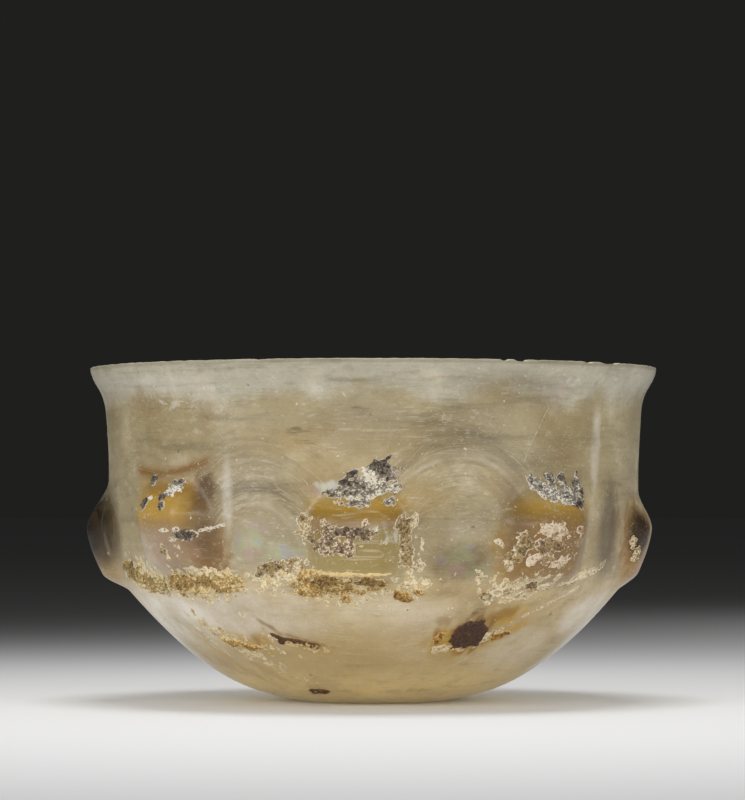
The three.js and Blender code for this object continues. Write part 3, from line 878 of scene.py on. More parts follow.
# Each row holds the values of a Patch, in order.
WALL_PATCH_ROWS: dict[StainAndPaintedLightKind, tuple[tuple[float, ...], ...]] = {
    StainAndPaintedLightKind.OCHRE: (
        (-5, 58, 18, 10, 0.5, 8), (-16, 63, 14, 3.5, 0.5, 12), (6, 50, 14, 6, 0.6), (19, 36, 10, 6, 0.5),
        (31, 51, 12, 5, 0.45, -20), (30, 38, 8, 9, 0.6), (-20, 64, 12, 2.5, 0.4), (-2, 14, 34, 9, 0.52),
        (30, 20, 14, 6, 0.45, 15), (75, 33, 8, 8, 0.7),
    ),
    StainAndPaintedLightKind.AMBER: (
        (73, 41, 7, 9, 0.5), (28, 37, 5, 7, 0.6), (-5, 3.4, 32, 1.2, 0.15), (33, 21.5, 7, 2.8, 1.0, 18),
        (20.5, 16.5, 6.5, 4, 1.0, 10), (28.5, 15, 8, 2.0, 1.0, 24), (19.5, 16.8, 5, 3.4, 1.0, 10),
        (-21, 15.4, 10, 1.8, 0.9, -15), (-32, 16, 3, 2.6, 0.8), (-40, 16, 10, 2.4, 0.7, -16),
        (36, 17.4, 9, 1.4, 0.9, 27), (-52, 11, 10, 1.2, 0.7, -50),
    ),
    StainAndPaintedLightKind.BROWN: (
        (28, 39, 4, 8, 0.4), (-36.5, 37.5, 6.5, 8.5, 1.0), (-37.5, 51.5, 4.5, 5.5, 0.7),
        (-46, 52, 13, 2.0, 0.5), (75, 40, 9, 11, 0.95), (-88, 42, 12, 10, 0.6), (64, 41, 4, 9, 0.6),
        (-26, 4.6, 3, 0.7, 0.4), (-12, 3.6, 2.4, 0.5, 0.35), (8, 3.6, 2.4, 0.5, 0.35),
        (19, 3.8, 3, 0.5, 0.3), (-38, 8, 5, 1.6, 0.4, -40), (-58, 10, 4, 2, 0.4),
        (33, 22.4, 4.6, 1.9, 0.6, 14), (16.8, 17.6, 1.0, 2.2, 0.7, 10), (26.6, 18.3, 5.6, 5.6, 1.0),
        (-27.8, 19.8, 3.4, 0.7, 0.8, -40), (-33.5, 16, 1.2, 1.8, 0.5), (-20, 16.6, 8, 0.6, 0.6, -16),
        (17.5, 21, 3, 1.4, 0.6),
    ),
    StainAndPaintedLightKind.MAUVE: (
        (-46, 37.5, 9, 7, 0.95), (-88, 45, 10, 4, 0.5),
    ),
    StainAndPaintedLightKind.DARK: (
        # Darker stains, with painted shade too: (-37, 52) and (-36.5, 40) shade the left-front rib's right
        # side, (76, 40.5) darkens the right rib's see-through core, and (60, 42) is a band of shade beside
        # the right rib.
        (-37, 52, 3.4, 4.5, 0.95), (-36.5, 40, 3.6, 7.5, 0.6), (30, 76, 26, 4, 0.22), (-4, 41, 9, 5, 0.2),
        (41, 37, 9, 7, 0.32), (76, 40.5, 4, 6, 0.9), (-3, 66, 14, 8, 0.27), (19, 66, 12, 9, 0.22),
        (-24, 53, 12, 9, 0.22), (-24, 39, 11, 8, 0.22), (20, 42, 10, 8, 0.18), (19, 35, 11, 6, 0.65),
        (60, 42, 4, 12, 0.4),
    ),
    StainAndPaintedLightKind.SMOKE: (
        # Painted darkness: the dark backdrop seen through the right rib's core and the left rib, and a band
        # of painted shade beside the right rib.
        (60.5, 42, 6.5, 15, 0.45), (76.5, 41.3, 5.5, 7, 0.7), (-86, 42.5, 14, 11.5, 0.94),
    ),
    StainAndPaintedLightKind.SCUM: (
        (-62, 31, 15, 6, 0.75, -10), (-41, 29.5, 15, 5.2, 0.8), (-20, 31.5, 10, 5, 0.65, 8),
        (-6, 28, 15, 4, 0.65), (-6, 24.5, 14, 1.6, 0.4), (8, 29, 7, 5, 0.65), (8, 38, 4.5, 8, 0.3),
        (34, 28.5, 14, 4.2, 0.7, 6), (50, 31, 10, 1.4, 0.6, 15), (39, 38, 8, 6, 0.3),
        (19.5, 14.2, 5, 1.4, 0.6, 10), (31, 16.6, 8, 1.6, 0.7, 26), (46, 25, 13, 0.7, 0.7, 27),
        (-36, 15, 12, 2.6, 0.55, -12), (-22, 15.5, 10, 1.5, 0.75, -14), (-52, 16.5, 8, 0.7, 0.7, -62),
        (-46, 18, 9, 2.4, 0.76, -30), (-38, 12.5, 10, 2.6, 0.62, -30), (-27, 7, 9, 1.6, 0.45, -14),
        (22, 31, 9, 2.5, 0.5), (58, 33, 8, 1.2, 0.5, 25), (-70, 33, 8, 3, 0.5, -12),
        (-40, 24, 30, 3, 0.3, -6), (5, 24, 30, 2.5, 0.3), (-50, 20, 8, 4, 0.45, -30), (-45, 38, 9, 4, 0.3),
        (-4, 40, 12, 5, 0.35),
    ),
    StainAndPaintedLightKind.MILK: (
        # (-9.4, 52.6) is a painted glint on the front rib's shoulder.
        (9, 30, 5, 3, 0.55), (47.8, 26.8, 14, 2.2, 0.5, 8), (-9.4, 52.6, 4.2, 1.9, 0.86),
        (2, 41, 5, 2.5, 0.7), (-35.6, 76, 4, 2.6, 0.55, 14), (-40, 72.8, 2.6, 2.8, 0.72, 30),
        (-45.6, 71.6, 3.6, 1.2, 0.76, 20), (-50, 73, 3.8, 1.2, 0.72, -25), (-6, 73.4, 1.4, 3, 0.7, 10),
        (-13.5, 75.4, 4.4, 1.4, 0.58, 5), (-9.6, 75.4, 5, 1.7, 0.5, 6), (-45, 75, 6, 3.4, 0.5, -20),
        (50, 77.5, 18, 2.2, 0.6), (56, 62, 3, 12, 0.4), (60, 44, 3, 10, 0.35), (28, 11, 8, 2, 0.5),
        (-5, 20, 30, 6, 0.3),
    ),
    StainAndPaintedLightKind.HAZE: (
        (-84, 15, 14, 12, 1.0), (84, 15, 14, 12, 1.0), (53.5, 62, 2.2, 11, 0.45), (-62, 21, 26, 8, 1.0),
        (-30, 22, 22, 8, 0.7), (5, 22, 22, 6, 0.35), (66, 22, 12, 6, 0.8), (46, 14, 12, 6, 0.4),
        (-52, 36, 8, 6, 0.3), (-24, 38, 11, 8, 0.15), (-31.6, 50, 1.6, 11, 0.4), (-51, 36.5, 7, 6, 0.4),
        # (-6, 52) is the soft part of the same painted glint on the front rib's shoulder.
        (20, 38, 10, 8, 0.15), (-6, 52, 6, 2.2, 1.0), (-50, 76, 20, 3, 0.25),
    ),
    StainAndPaintedLightKind.SMUDGE: (
        (-16, 65.3, 4.5, 1.4, 1.0), (-14, 62.5, 6, 1.2, 0.8, -10), (-2.5, 69.5, 4, 2.4, 0.8),
        (15, 70, 12, 6, 0.45), (-24, 72.6, 12, 1.4, 0.7), (41, 66, 14, 6, 0.5), (-25, 53, 12, 4, 0.5),
        (19, 50, 12, 6, 0.4), (19, 34, 9, 4.5, 0.9), (26.6, 23, 3.6, 2.0, 0.75, 10),
    ),
    StainAndPaintedLightKind.RAINBOW: (
        (-22, 39, 10, 7, 1.0), (-61, 25.3, 9, 4.5, 0.7), (20, 36, 9, 6, 0.5), (-8, 51, 6, 2.5, 0.9),
        (-30, 76, 16, 3, 0.25), (8, 77, 18, 3, 0.25), (38, 75, 14, 3, 0.2), (-45, 33, 8, 2, 0.6),
    ),
    StainAndPaintedLightKind.WORN: (
        (-82, 42.5, 13, 9.5, 0.55), (75, 42, 5, 6, 0.35),
    ),
}

WALL_PATCHES = {kind: tuple(Patch(*row) for row in rows) for kind, rows in WALL_PATCH_ROWS.items()}

SOFT_PATCH_KINDS = (
    StainAndPaintedLightKind.OCHRE,
    StainAndPaintedLightKind.DARK,
    StainAndPaintedLightKind.SMOKE,
    StainAndPaintedLightKind.HAZE,
    StainAndPaintedLightKind.RAINBOW,
    StainAndPaintedLightKind.WORN,
)


@dataclass
class Vessel:
    """The one piece of glass, with its ribs, its ground lip and the faint lines of its making."""

    sizes: VesselSizes = field(default_factory=VesselSizes)
    around: int = 720
    outer_levels: int = 300
    inner_levels: int = 150
    lip_levels: int = 9
    skin: float = 0.03 * MM
    lip_squareness: float = 0.55
    lip_wear: float = 0.06 * MM
    unevenness: float = 0.14 * MM
    line_relief: float = 0.03 * MM
    line_spacing: float = 1.9 * MM

    def __post_init__(self) -> None:
        """Measures both faces of the wall and draws its unevenness."""
        self.outer = Profile(self.sizes, inset=False)
        self.inner = Profile(self.sizes, inset=True)
        self.uneven = Ripple(seed=3, waves=26, turns=16, height=22 * MM)
        self.ragged = Ripple(seed=11, waves=40, turns=150, height=3 * MM)
        self.reach = max(rib.reach for rib in self.sizes.ribs)

    def rib_height(self, rib: Rib, level: np.ndarray) -> np.ndarray:
        """How high a level lies above the foot of a rib's ledge."""
        return level - (self.sizes.turn.height - self.sizes.rib_foot_drop + rib.lift)

    def swell(self, azimuth: np.ndarray, level: np.ndarray, thickening: float = 0.0) -> np.ndarray:
        """How far the ribs push a face outwards, less the glass that thickens each rib.

        Args:
            azimuth: Azimuths in degrees from the front.
            level: Heights in metres.
            thickening: How much less the face is pushed at a full rib, in metres.

        Returns:
            The push at each place, in metres.
        """
        sizes = self.sizes
        total = np.zeros(np.broadcast(azimuth, level).shape)
        for rib in sizes.ribs:
            height = self.rib_height(rib, level)
            up_shoulder = smoothstep(height, sizes.crown_rise, sizes.crown_rise + rib.shoulder)
            half_width = rib.half_width * (1 - sizes.shoulder_taper * up_shoulder)
            across = np.abs(np.radians(turn_between(azimuth, rib.azimuth))) * sizes.wall.radius / half_width
            side = 1 - smoothstep(across, sizes.flat_share, 1)
            ledge = smoothstep(height, 0, sizes.ledge_rise)
            up_crown = smoothstep(height, 0, sizes.crown_rise)
            belly = sizes.ledge_fullness + (1 - sizes.ledge_fullness) * up_crown
            total += (rib.reach - thickening) * side * ledge * belly * (1 - up_shoulder)
        return total

    def arches(self, azimuth: np.ndarray, level: np.ndarray) -> tuple[np.ndarray, ...]:
        """The lines that arch over each panel between two ribs.

        Args:
            azimuth: Azimuths in degrees.
            level: Heights in metres.

        Returns:
            The distance from the middle of the panel's arches, the angle round it times that distance, how
            much the lines show there, and how much the pale main arch and the dull band above it do.
        """
        stations = np.array(sorted(turn_between(rib.azimuth, 0) for rib in self.sizes.ribs))
        stations = np.r_[stations, stations[0] + 360]
        turned = (azimuth - stations[0]) % 360 + stations[0]
        panel = np.clip(np.searchsorted(stations, turned, "right") - 1, 0, len(stations) - 2)
        middle = (stations[panel] + stations[panel + 1]) / 2
        across = np.radians(turned - middle) * self.sizes.wall.radius
        up = level - self.sizes.arch_middle - 1.5 * MM * np.sin(panel * 2.4)
        reach = np.hypot(across, up * 0.92)
        shown = smoothstep(up, -2 * MM, 7 * MM) * band(reach, 10 * MM, 27 * MM, 5 * MM)
        edge = 1 - smoothstep(np.abs(across), 17 * MM, 23 * MM)
        edge = edge * np.array(self.sizes.arch_strengths)[panel]
        beyond = reach - np.array(self.sizes.arch_radii)[panel]
        risen = smoothstep(up, 0, 5 * MM)
        main = (bell(beyond, 0, 0.35 * MM) + 0.6 * bell(beyond, 1.3 * MM, 0.25 * MM)) * risen
        dull = band(beyond, 1.4 * MM, 5.5 * MM, 1.2 * MM) * risen * edge
        return reach, np.arctan2(across, up) * reach, shown * edge, main * edge, dull

    def relief(self, azimuth: np.ndarray, level: np.ndarray) -> np.ndarray:
        """How far the outer face departs from its true shape, in metres."""
        reach, _, shown, _, _ = self.arches(azimuth, level)
        uneven = self.uneven.at(azimuth, level)
        lines = np.cos(reach * 2 * math.pi / self.line_spacing + 2 * uneven)
        off_foot = smoothstep(level, 4 * MM, 9 * MM)
        return off_foot * (self.unevenness * uneven + self.line_relief * lines * shown)

    def _place(
        self,
        face: Profile,
        azimuth: np.ndarray,
        along: np.ndarray,
        thickening: float,
        lift: np.ndarray | float,
    ) -> np.ndarray:
        """Points on one face of the wall, moved outwards by a lift."""
        point, outward = face.at(along)
        level = point[..., 1]
        push = self.swell(azimuth, level, thickening) + self.relief(azimuth, level) + lift
        radius = point[..., 0] + outward[..., 0] * push
        turned = np.radians(azimuth)
        height = level + outward[..., 1] * push
        return np.stack([radius * np.sin(turned), -radius * np.cos(turned), height], -1)

    def outside(self, azimuth: np.ndarray, along: np.ndarray, lift: np.ndarray | float = 0.0) -> np.ndarray:
        """Points on the outer face, moved outwards by a lift."""
        return self._place(self.outer, azimuth, along, 0.0, lift)

    def inside(self, azimuth: np.ndarray, along: np.ndarray, lift: float = 0.0) -> np.ndarray:
        """Points on the inner face, moved into the hollow by a lift."""
        return self._place(self.inner, azimuth, along, self.sizes.rib_glass - self.sizes.wall_glass, -lift)

    def _chipped(self, azimuth: np.ndarray) -> np.ndarray:
        """How much the lip has lost at each azimuth, in metres."""
        lost = self.lip_wear * (1 + self.ragged.at(azimuth, np.zeros(1)))
        for chip in self.sizes.chips:
            off = np.abs(turn_between(azimuth, chip.azimuth)) / chip.half_width
            lost = lost + chip.depth * (1 - smoothstep(off, 0.5, 1.0))
        return lost

    def _body(self, name: str, lift: float) -> tuple[bpy.types.Object, np.ndarray, np.ndarray]:
        """A closed bowl whose faces lie a lift off the glass, its corners, and 1 for each on the inside."""
        azimuth = np.arange(self.around) * 360 / self.around
        cut = self.sizes.lip_round
        up = np.linspace(0, self.outer.length - cut, self.outer_levels + 1)[1:]
        down = np.linspace(self.inner.length - cut, 0, self.inner_levels + 1)[:-1]
        outer_rows = self.outside(azimuth[None, :], up[:, None], lift)
        inner_rows = self.inside(azimuth[None, :], down[:, None], lift)
        turn = np.linspace(0, math.pi, self.lip_levels + 2)[1:-1, None, None]
        middle = (outer_rows[-1] + inner_rows[0]) / 2
        half = (outer_rows[-1] - inner_rows[0]) / 2
        rise = np.zeros_like(middle)
        rise[:, 2] = self.sizes.lip.height + lift - self._chipped(azimuth) - middle[:, 2]
        lip_rows = (
            middle
            + np.sign(np.cos(turn)) * np.abs(np.cos(turn)) ** self.lip_squareness * half
            + np.sin(turn) ** self.lip_squareness * rise
        )
        shape = Shape()
        rows = np.concatenate([outer_rows, lip_rows, inner_rows])
        foot = np.array([0, 0, -lift])
        floor = np.array([0, 0, self.sizes.floor_glass + lift])
        shape.add_rings(foot, rows, floor)
        body = shape.build(name)
        points = np.vstack(shape.points)
        turned = np.degrees(np.arctan2(points[:, 0], -points[:, 1]))
        add_mask(body, "rib", np.clip(self.swell(turned, points[:, 2]) / self.reach, 0, 1))
        first_inside = 1 + (len(outer_rows) + self.lip_levels) * self.around
        inside = np.zeros(len(points))
        inside[first_inside:] = 1
        add_mask(body, "inside", inside)
        lip = np.zeros(len(points))
        first_lip = 1 + len(outer_rows) * self.around
        on_top = smoothstep(np.sin(turn.ravel()), 0.5, 0.8)
        lip[first_lip:first_inside] = np.repeat(on_top, self.around)
        add_mask(body, "lip", lip)
        return body, points, inside

    def build_glass(self) -> bpy.types.Object:
        """Builds the clear glass, which stands for its CAD node."""
        glass, _, _ = self._body("glass", 0.0)
        glass.data.materials.append(ClearGlass().material())
        return ride_as(glass, "glass", "glass_bowl")

    def build_skin(self) -> bpy.types.Object:
        """Builds the skin of weathering, with its painted light and shade, that lies on both faces of the
        glass.
        """
        skin, points, inside = self._body("weathering", self.skin)
        azimuth = np.degrees(np.arctan2(points[:, 0], -points[:, 1]))
        level = points[:, 2]
        radius = np.hypot(points[:, 0], points[:, 1])
        ragged = self.ragged.at(azimuth, level)
        off_middle = smoothstep(radius, 6 * MM, 16 * MM)
        tints = self._rib_tints(azimuth, level)
        for kind in StainAndPaintedLightKind:
            cover = tints.get(kind, np.zeros(len(level)))
            rough = ragged * (0.15 if kind in SOFT_PATCH_KINDS else 1)
            shown = off_middle if kind in SOFT_PATCH_KINDS else 1 - inside
            for patch in WALL_PATCHES.get(kind, ()) + self._back_stains(kind):
                cover = np.maximum(cover, patch.cover(azimuth, level, radius, rough) * shown)
            add_mask(skin, kind.value, cover)
        for name, values in zip(("flow", "sweep", "lined", "arch", "dull"), self.arches(azimuth, level)):
            add_mask(skin, name, values)
        skin.data.materials.append(WeatheringAndPaintedLight().material())
        return ride_as(skin, "glass")

    def _rib_tints(self, azimuth: np.ndarray, level: np.ndarray) -> dict[StainAndPaintedLightKind, np.ndarray]:
        """The bands of colour that each rib shows, and the painted shade down one of its sides, as masks."""
        kinds = (StainAndPaintedLightKind.AMBER, StainAndPaintedLightKind.GOLD, StainAndPaintedLightKind.BROWN, StainAndPaintedLightKind.DARK, StainAndPaintedLightKind.MAUVE)
        masks = {kind: np.zeros(len(level)) for kind in kinds}
        for rib in self.sizes.ribs:
            tint = rib.tint
            across = np.radians(turn_between(azimuth, rib.azimuth)) * self.sizes.wall.radius / rib.half_width
            height = self.rib_height(rib, level)
            wide = 1 - smoothstep(np.abs(across), 0.62, 1.04)
            low, high = tint.amber_from, tint.amber_to
            under_amber = 0.5 * tint.amber * wide * bell(height, low + 0.8 * MM, 1.6 * MM)
            rows = {
                StainAndPaintedLightKind.AMBER: tint.amber * wide * band(height, low, high, 2.6 * MM),
                StainAndPaintedLightKind.GOLD: tint.gold * wide * band(height, 4.5 * MM, low + 3 * MM, 1.6 * MM),
                StainAndPaintedLightKind.BROWN: np.maximum(
                    tint.brown * wide * band(height, 2 * MM, low + 1 * MM, 2.5 * MM), under_amber
                ),
                # Painted shade down one side of the rib.
                StainAndPaintedLightKind.DARK: tint.dark
                * bell(across, tint.side * 0.74, 0.24)
                * band(height, 5 * MM, 25 * MM, 4 * MM),
                StainAndPaintedLightKind.MAUVE: tint.mauve * wide * bell(height, low - 1.5 * MM, 0.9 * MM),
            }
            bowed = height - 25.2 * MM - (2.2 * MM) * across**2 - (1.2 * MM) * across
            arc = tint.arc * bell(bowed, 0, 1.5 * MM) * (1 - smoothstep(np.abs(across), 0.8, 1.15))
            rows[StainAndPaintedLightKind.BROWN] = np.maximum(rows[StainAndPaintedLightKind.BROWN], arc)
            for kind, mask in rows.items():
                masks[kind] = np.maximum(masks[kind], mask)
        return masks

    def _back_stains(self, kind: StainAndPaintedLightKind) -> tuple[Patch, ...]:
        """Stains round the ribs that the front doesn't show, drawn after those of the front."""
        draw = np.random.default_rng(17)
        patches = []
        for rib in self.sizes.ribs[5:]:
            foot = (self.sizes.turn.height + rib.lift) / MM
            shift, size = draw.uniform(-3, 3), draw.uniform(0.8, 1.2)
            rows = {
                StainAndPaintedLightKind.SCUM: (
                    Patch(rib.azimuth + shift, foot, 14 * size, 3.6, 0.75, shift * 2),
                    Patch(rib.azimuth - shift, foot + 12, 8, 5 * size, 0.45),
                    Patch(rib.azimuth + 7 * shift, foot - 14, 11, 1.6, 0.7, shift * 4),
                ),
                StainAndPaintedLightKind.MILK: (
                    Patch(rib.azimuth - 14, foot - 4, 9, 4 * size, 0.7),
                    Patch(rib.azimuth + 20, 75, 9, 2.4, 0.7, shift * 3),
                ),
                StainAndPaintedLightKind.HAZE: (Patch(rib.azimuth + 24, foot - 6, 24, 8, 0.8),),
                StainAndPaintedLightKind.SMUDGE: (Patch(rib.azimuth + 16, 67, 12, 3, 0.7),),
                StainAndPaintedLightKind.RAINBOW: (Patch(rib.azimuth + 23, 40, 9, 6, 0.8),),
            }
            patches.extend(rows.get(kind, ()))
        return tuple(patches)


@dataclass(frozen=True)
class Scratch:
    """A fine pale line on the outside: its width in millimetres, and its knots.

    Each knot is an azimuth in degrees, and a length along the profile from the middle of the foot in
    millimetres.
    """

    width: float
    knots: tuple[tuple[float, float], ...]


# Each row holds the width of a Scratch, and then its knots, azimuth and length by turns.
PALE_LINE_ROWS: tuple[tuple[float, ...], ...] = (
    # Crack down the right wall.
    (0.24, 38.8, 115.1, 37.3, 112.2, 35.6, 108.7, 33.9, 105.4, 32.5, 101.4),
    # Its curl.
    (0.12, 37.7, 115.0, 38.6, 113.6, 39.6, 114.4, 38.7, 115.5),
    # Right panel, outer arch.
    (
        0.12, 5.4, 98.2, 7.0, 101.3, 9.4, 104.5, 12.3, 106.1, 16.1, 107.1, 19.5, 107.1, 22.6, 106.2, 26.7,
        104.6, 31.5, 102.5,
    ),
    # Right panel, second arch.
    (0.12, 7.8, 98.9, 9.9, 102.7, 12.8, 104.1, 16.1, 105.0, 19.5, 105.0, 23.1, 104.1, 26.7, 103.0),
    # Right panel, third arch.
    (0.14, 9.5, 95.2, 12.4, 97.6, 15.7, 98.5, 19.2, 99.0, 23.1, 98.3, 26.6, 97.1, 29.6, 95.1),
    # Right panel, low arch.
    (0.1, 8.7, 88.8, 12.0, 90.4, 15.1, 92.0, 19.2, 92.7, 22.7, 92.7),
    # Left panel, main arch.
    (
        0.2, -29.3, 89.9, -26.9, 92.0, -24.5, 92.9, -21.6, 93.2, -19.0, 92.7, -16.9, 91.5, -14.8, 89.9,
        -12.7, 88.8,
    ),
    # Left panel, main arch again.
    (0.14, -28.6, 89.2, -26.2, 91.3, -23.4, 92.2, -20.3, 92.2, -17.7, 91.3, -15.6, 89.9),
    # Left panel, upper arch.
    (0.1, -30.1, 94.8, -27.3, 97.1, -24.3, 97.8, -21.1, 98.3, -18.1, 97.8, -15.1, 96.2),
    # Left panel, leaning line.
    (0.12, -20.0, 102.0, -17.2, 99.9, -14.7, 98.3, -13.2, 95.0),
    # Left wall, line over the arc.
    (0.12, -65.1, 101.3, -59.5, 100.2, -53.7, 99.2, -46.9, 98.2, -42.1, 97.7, -38.5, 97.9, -34.8, 99.5),
    # Left wall, rising line.
    (0.1, -41.3, 99.6, -37.7, 101.2, -33.7, 103.3, -30.5, 104.9),
    # Left wall, second rising line.
    (0.1, -39.6, 97.4, -35.9, 99.5, -32.3, 102.6, -30.0, 104.6),
    # Front, rising line.
    (0.12, 4.2, 94.6, 5.8, 96.6, 7.6, 98.7, 9.7, 101.3, 11.9, 103.1, 14.2, 103.6),
    # Front, second rising line.
    (0.1, 5.4, 98.0, 7.0, 101.0, 8.6, 103.6, 10.3, 105.4),
    # Front, wavy line.
    (0.1, -13.8, 105.7, -11.3, 104.7, -8.4, 103.6, -5.8, 103.6, -3.1, 105.0, -1.5, 106.3),
    # Right wall, level line.
    (0.1, 46.8, 107.9, 50.1, 107.7, 54.5, 107.6, 58.2, 106.7),
    # Right wall, long level line.
    (0.08, 33.1, 107.2, 36.4, 107.5, 40.8, 107.8, 44.6, 107.9),
    # Right wall, upright line.
    (0.16, 52.4, 104.4, 51.7, 103.0, 52.9, 101.3, 52.2, 99.7),
    # Right rib, outline: a painted highlight along its edge.
    (0.1, 73.0, 99.9, 79.2, 97.0, 86.1, 94.2),
    # Front ledge line: a painted highlight, where the ledge reflects the floor.
    (0.3, -9.5, 76.7, -6.2, 77.1, -3.1, 77.1, 0.1, 76.4, 2.9, 75.5, 5.1, 74.2),
    # Right ledge line: a painted highlight along the ledge.
    (0.22, 41.7, 70.6, 45.1, 72.3, 49.2, 73.7, 54.9, 74.6, 60.5, 76.1),
    # Line under the right ledge: a painted highlight.
    (0.12, 46.8, 51.9, 51.3, 56.0, 53.5, 60.7, 57.8, 64.9, 62.0, 68.6),
    # Foot line: a painted highlight along the foot's edge.
    (0.16, -25.1, 25.0, -13.3, 22.8, 1.6, 21.3, 16.5, 22.7, 28.3, 25.9),
    # Left of the rim, first stroke.
    (0.5, -53.3, 118.5, -51.5, 117.3, -49.7, 116.0, -47.4, 115.0),
    # Left of the rim, curling stroke.
    (0.7, -47.0, 114.1, -45.1, 115.2, -43.2, 115.9, -41.4, 115.1, -39.2, 116.0),
    # Left of the rim, broad stroke.
    (0.8, -41.6, 117.9, -40.4, 117.0, -40.9, 115.8, -39.0, 117.2, -39.4, 118.5),
    # Left of the rim, short stroke.
    (0.4, -45.2, 119.2, -43.6, 118.3, -41.7, 118.5),
    # Middle of the rim, level stroke.
    (0.4, -16.0, 117.4, -14.7, 118.3, -12.7, 117.8, -10.6, 118.6),
    # Middle of the rim, falling stroke.
    (0.5, -6.6, 118.2, -5.9, 117.0, -5.5, 115.8),
    # Under the lip, wavy stroke.
    (0.2, -14.6, 124.4, -13.2, 123.8, -12.0, 124.1, -9.8, 123.4),
    # Right of the rim, crossing strokes.
    (0.3, 14.2, 117.5, 14.9, 118.8, 15.6, 119.8),
)

PALE_LINES = tuple(Scratch(row[0], tuple(zip(row[1::2], row[2::2]))) for row in PALE_LINE_ROWS)


@dataclass
class PaleLines:
    """The fine pale lines on the outside: those that the photograph shows, and short drawn ones all round.
    Most are scratches; those along the ledges, the foot and the right rib's edge are painted highlights.
    """

    vessel: Vessel
    drawn: int = 220
    seed: int = 23
    root: float = 0.02 * MM
    rise: float = 0.07 * MM
    spacing: float = 0.4 * MM
    shake: float = 0.05 * MM
    taper: float = 0.6 * MM
    wave: float = 3.1 * MM
    colour: Colour = srgb(228, 214, 178)

    def _short_ones(self, draw: np.random.Generator) -> list[Scratch]:
        """Short scratches, most of them nearly level."""
        made = []
        for _ in range(self.drawn):
            middle = np.array([draw.uniform(-180, 180), draw.uniform(24, 116)])
            length = 1.0 + 7 * draw.uniform() ** 3
            way = draw.normal(0, 0.25) if draw.uniform() < 0.45 else draw.uniform(-1.5, 1.5)
            step = np.array([math.cos(way), math.sin(way)]) * length / 2
            bend = draw.normal(0, 0.12 * length)
            bowed = np.array([-math.sin(way), math.cos(way)]) * bend
            knots = [middle - step, middle + bowed, middle + step]
            made.append(Scratch(draw.uniform(0.05, 0.11), tuple(map(tuple, knots))))
        return made

    def _knots(self, scratch: Scratch) -> np.ndarray:
        """The line's points, with its corners rounded off."""
        knots = np.array(scratch.knots)
        for _ in range(3):
            ahead = knots[:-1] * 0.25 + knots[1:] * 0.75
            behind = knots[:-1] * 0.75 + knots[1:] * 0.25
            inner = np.stack([behind, ahead], 1).reshape(-1, 2)
            knots = np.vstack([knots[:1], inner, knots[-1:]])
        return knots

    def _add(self, shape: Shape, scratch: Scratch, draw: np.random.Generator) -> None:
        """Adds one line as a thin ridge that tapers to its ends."""
        knots = self._knots(scratch)
        radius = self.vessel.outer.at(knots.mean(axis=0)[1] * MM)[0][0]
        flat = np.stack([np.radians(knots[:, 0]) * radius, knots[:, 1] * MM], -1)
        lengths = np.r_[0, np.cumsum(np.hypot(*np.diff(flat, axis=0).T))]
        count = max(5, int(lengths[-1] / self.spacing))
        spots = np.linspace(0, lengths[-1], count)
        line = np.stack([np.interp(spots, lengths, flat[:, k]) for k in (0, 1)], -1)
        line += draw.normal(0, self.shake, line.shape)
        run = np.gradient(line, axis=0)
        run /= np.linalg.norm(run, axis=1, keepdims=True)
        taper = np.clip(np.minimum(spots, lengths[-1] - spots) / self.taper, 0.15, 1)
        waves = spots * 2 * math.pi / self.wave + draw.uniform(0, 6) + 2 * np.sin(spots / MM)
        broken = 0.5 + 0.5 * np.sin(waves)
        half = scratch.width * MM / 2 * taper * broken * draw.uniform(0.5, 1.4, count)
        side = np.stack([run[:, 1], -run[:, 0]], -1) * half[:, None]

        def put(places: np.ndarray, lift: float) -> np.ndarray:
            """Places on the flat, laid on the glass."""
            return self.vessel.outside(np.degrees(places[:, 0] / radius), places[:, 1], lift)

        rows = np.stack([put(line - side, self.root), put(line, self.rise), put(line + side, self.root)], 1)
        shape.add_rings(rows[0].mean(axis=0), rows, rows[-1].mean(axis=0))

    def build(self) -> bpy.types.Object:
        """Builds all the lines as one piece."""
        draw = np.random.default_rng(self.seed)
        shape = Shape()
        for scratch in PALE_LINES + tuple(self._short_ones(draw)):
            self._add(shape, scratch, draw)
        lines = shape.build("scratches_and_highlight_lines")
        material, nodes, shader = new_material("scratch_and_highlight_finish")
        nodes.fill(shader, {"Base Color": self.colour, "Roughness": 0.6, "Alpha": 0.7})
        lines.data.materials.append(material)
        return ride_as(lines, "glass")


class CrustKind(Enum):
    """The three kinds of crust, named as the record's slots are."""

    GREY = "grey_crust"
    TAN = "tan_crust"
    IRON = "iron_crust"


@dataclass(frozen=True)
class CrustFinish:
    """A rough mineral crust, mottled in three colours, with a pale edge."""

    kind: CrustKind
    low: Colour
    middle: Colour
    high: Colour
    edge: Colour
    scale: float
    ragged: float
    relief: float

    def material(self) -> bpy.types.Material:
        """Builds the material."""
        material, nodes, shader = new_material(self.kind.value)
        place = nodes.add("TexCoord").outputs["Object"]
        colour, height = Granules().place(
            nodes,
            Place=place,
            Tone=nodes.mask("tone"),
            Low=self.low,
            Middle=self.middle,
            High=self.high,
            Scale=self.scale,
        )
        broken = nodes.product(nodes.mask("edge"), nodes.ramp(nodes.noise(place, 450.0), 0.4, 0.5))
        cast = nodes.add("Attribute", attribute_name="cast").outputs["Color"]
        both = {0: 1.0, 6: nodes.mix(broken, colour, self.edge), 7: cast}
        colour = nodes.add("Mix", both, data_type="RGBA", blend_type="MULTIPLY").outputs[2]
        rough = nodes.ramp(height, -0.8, 0.6, 0.9)
        looks = {"Base Color": colour, "Normal": nodes.bump(height, self.relief), "Roughness": rough}
        nodes.fill(shader, looks)
        return material


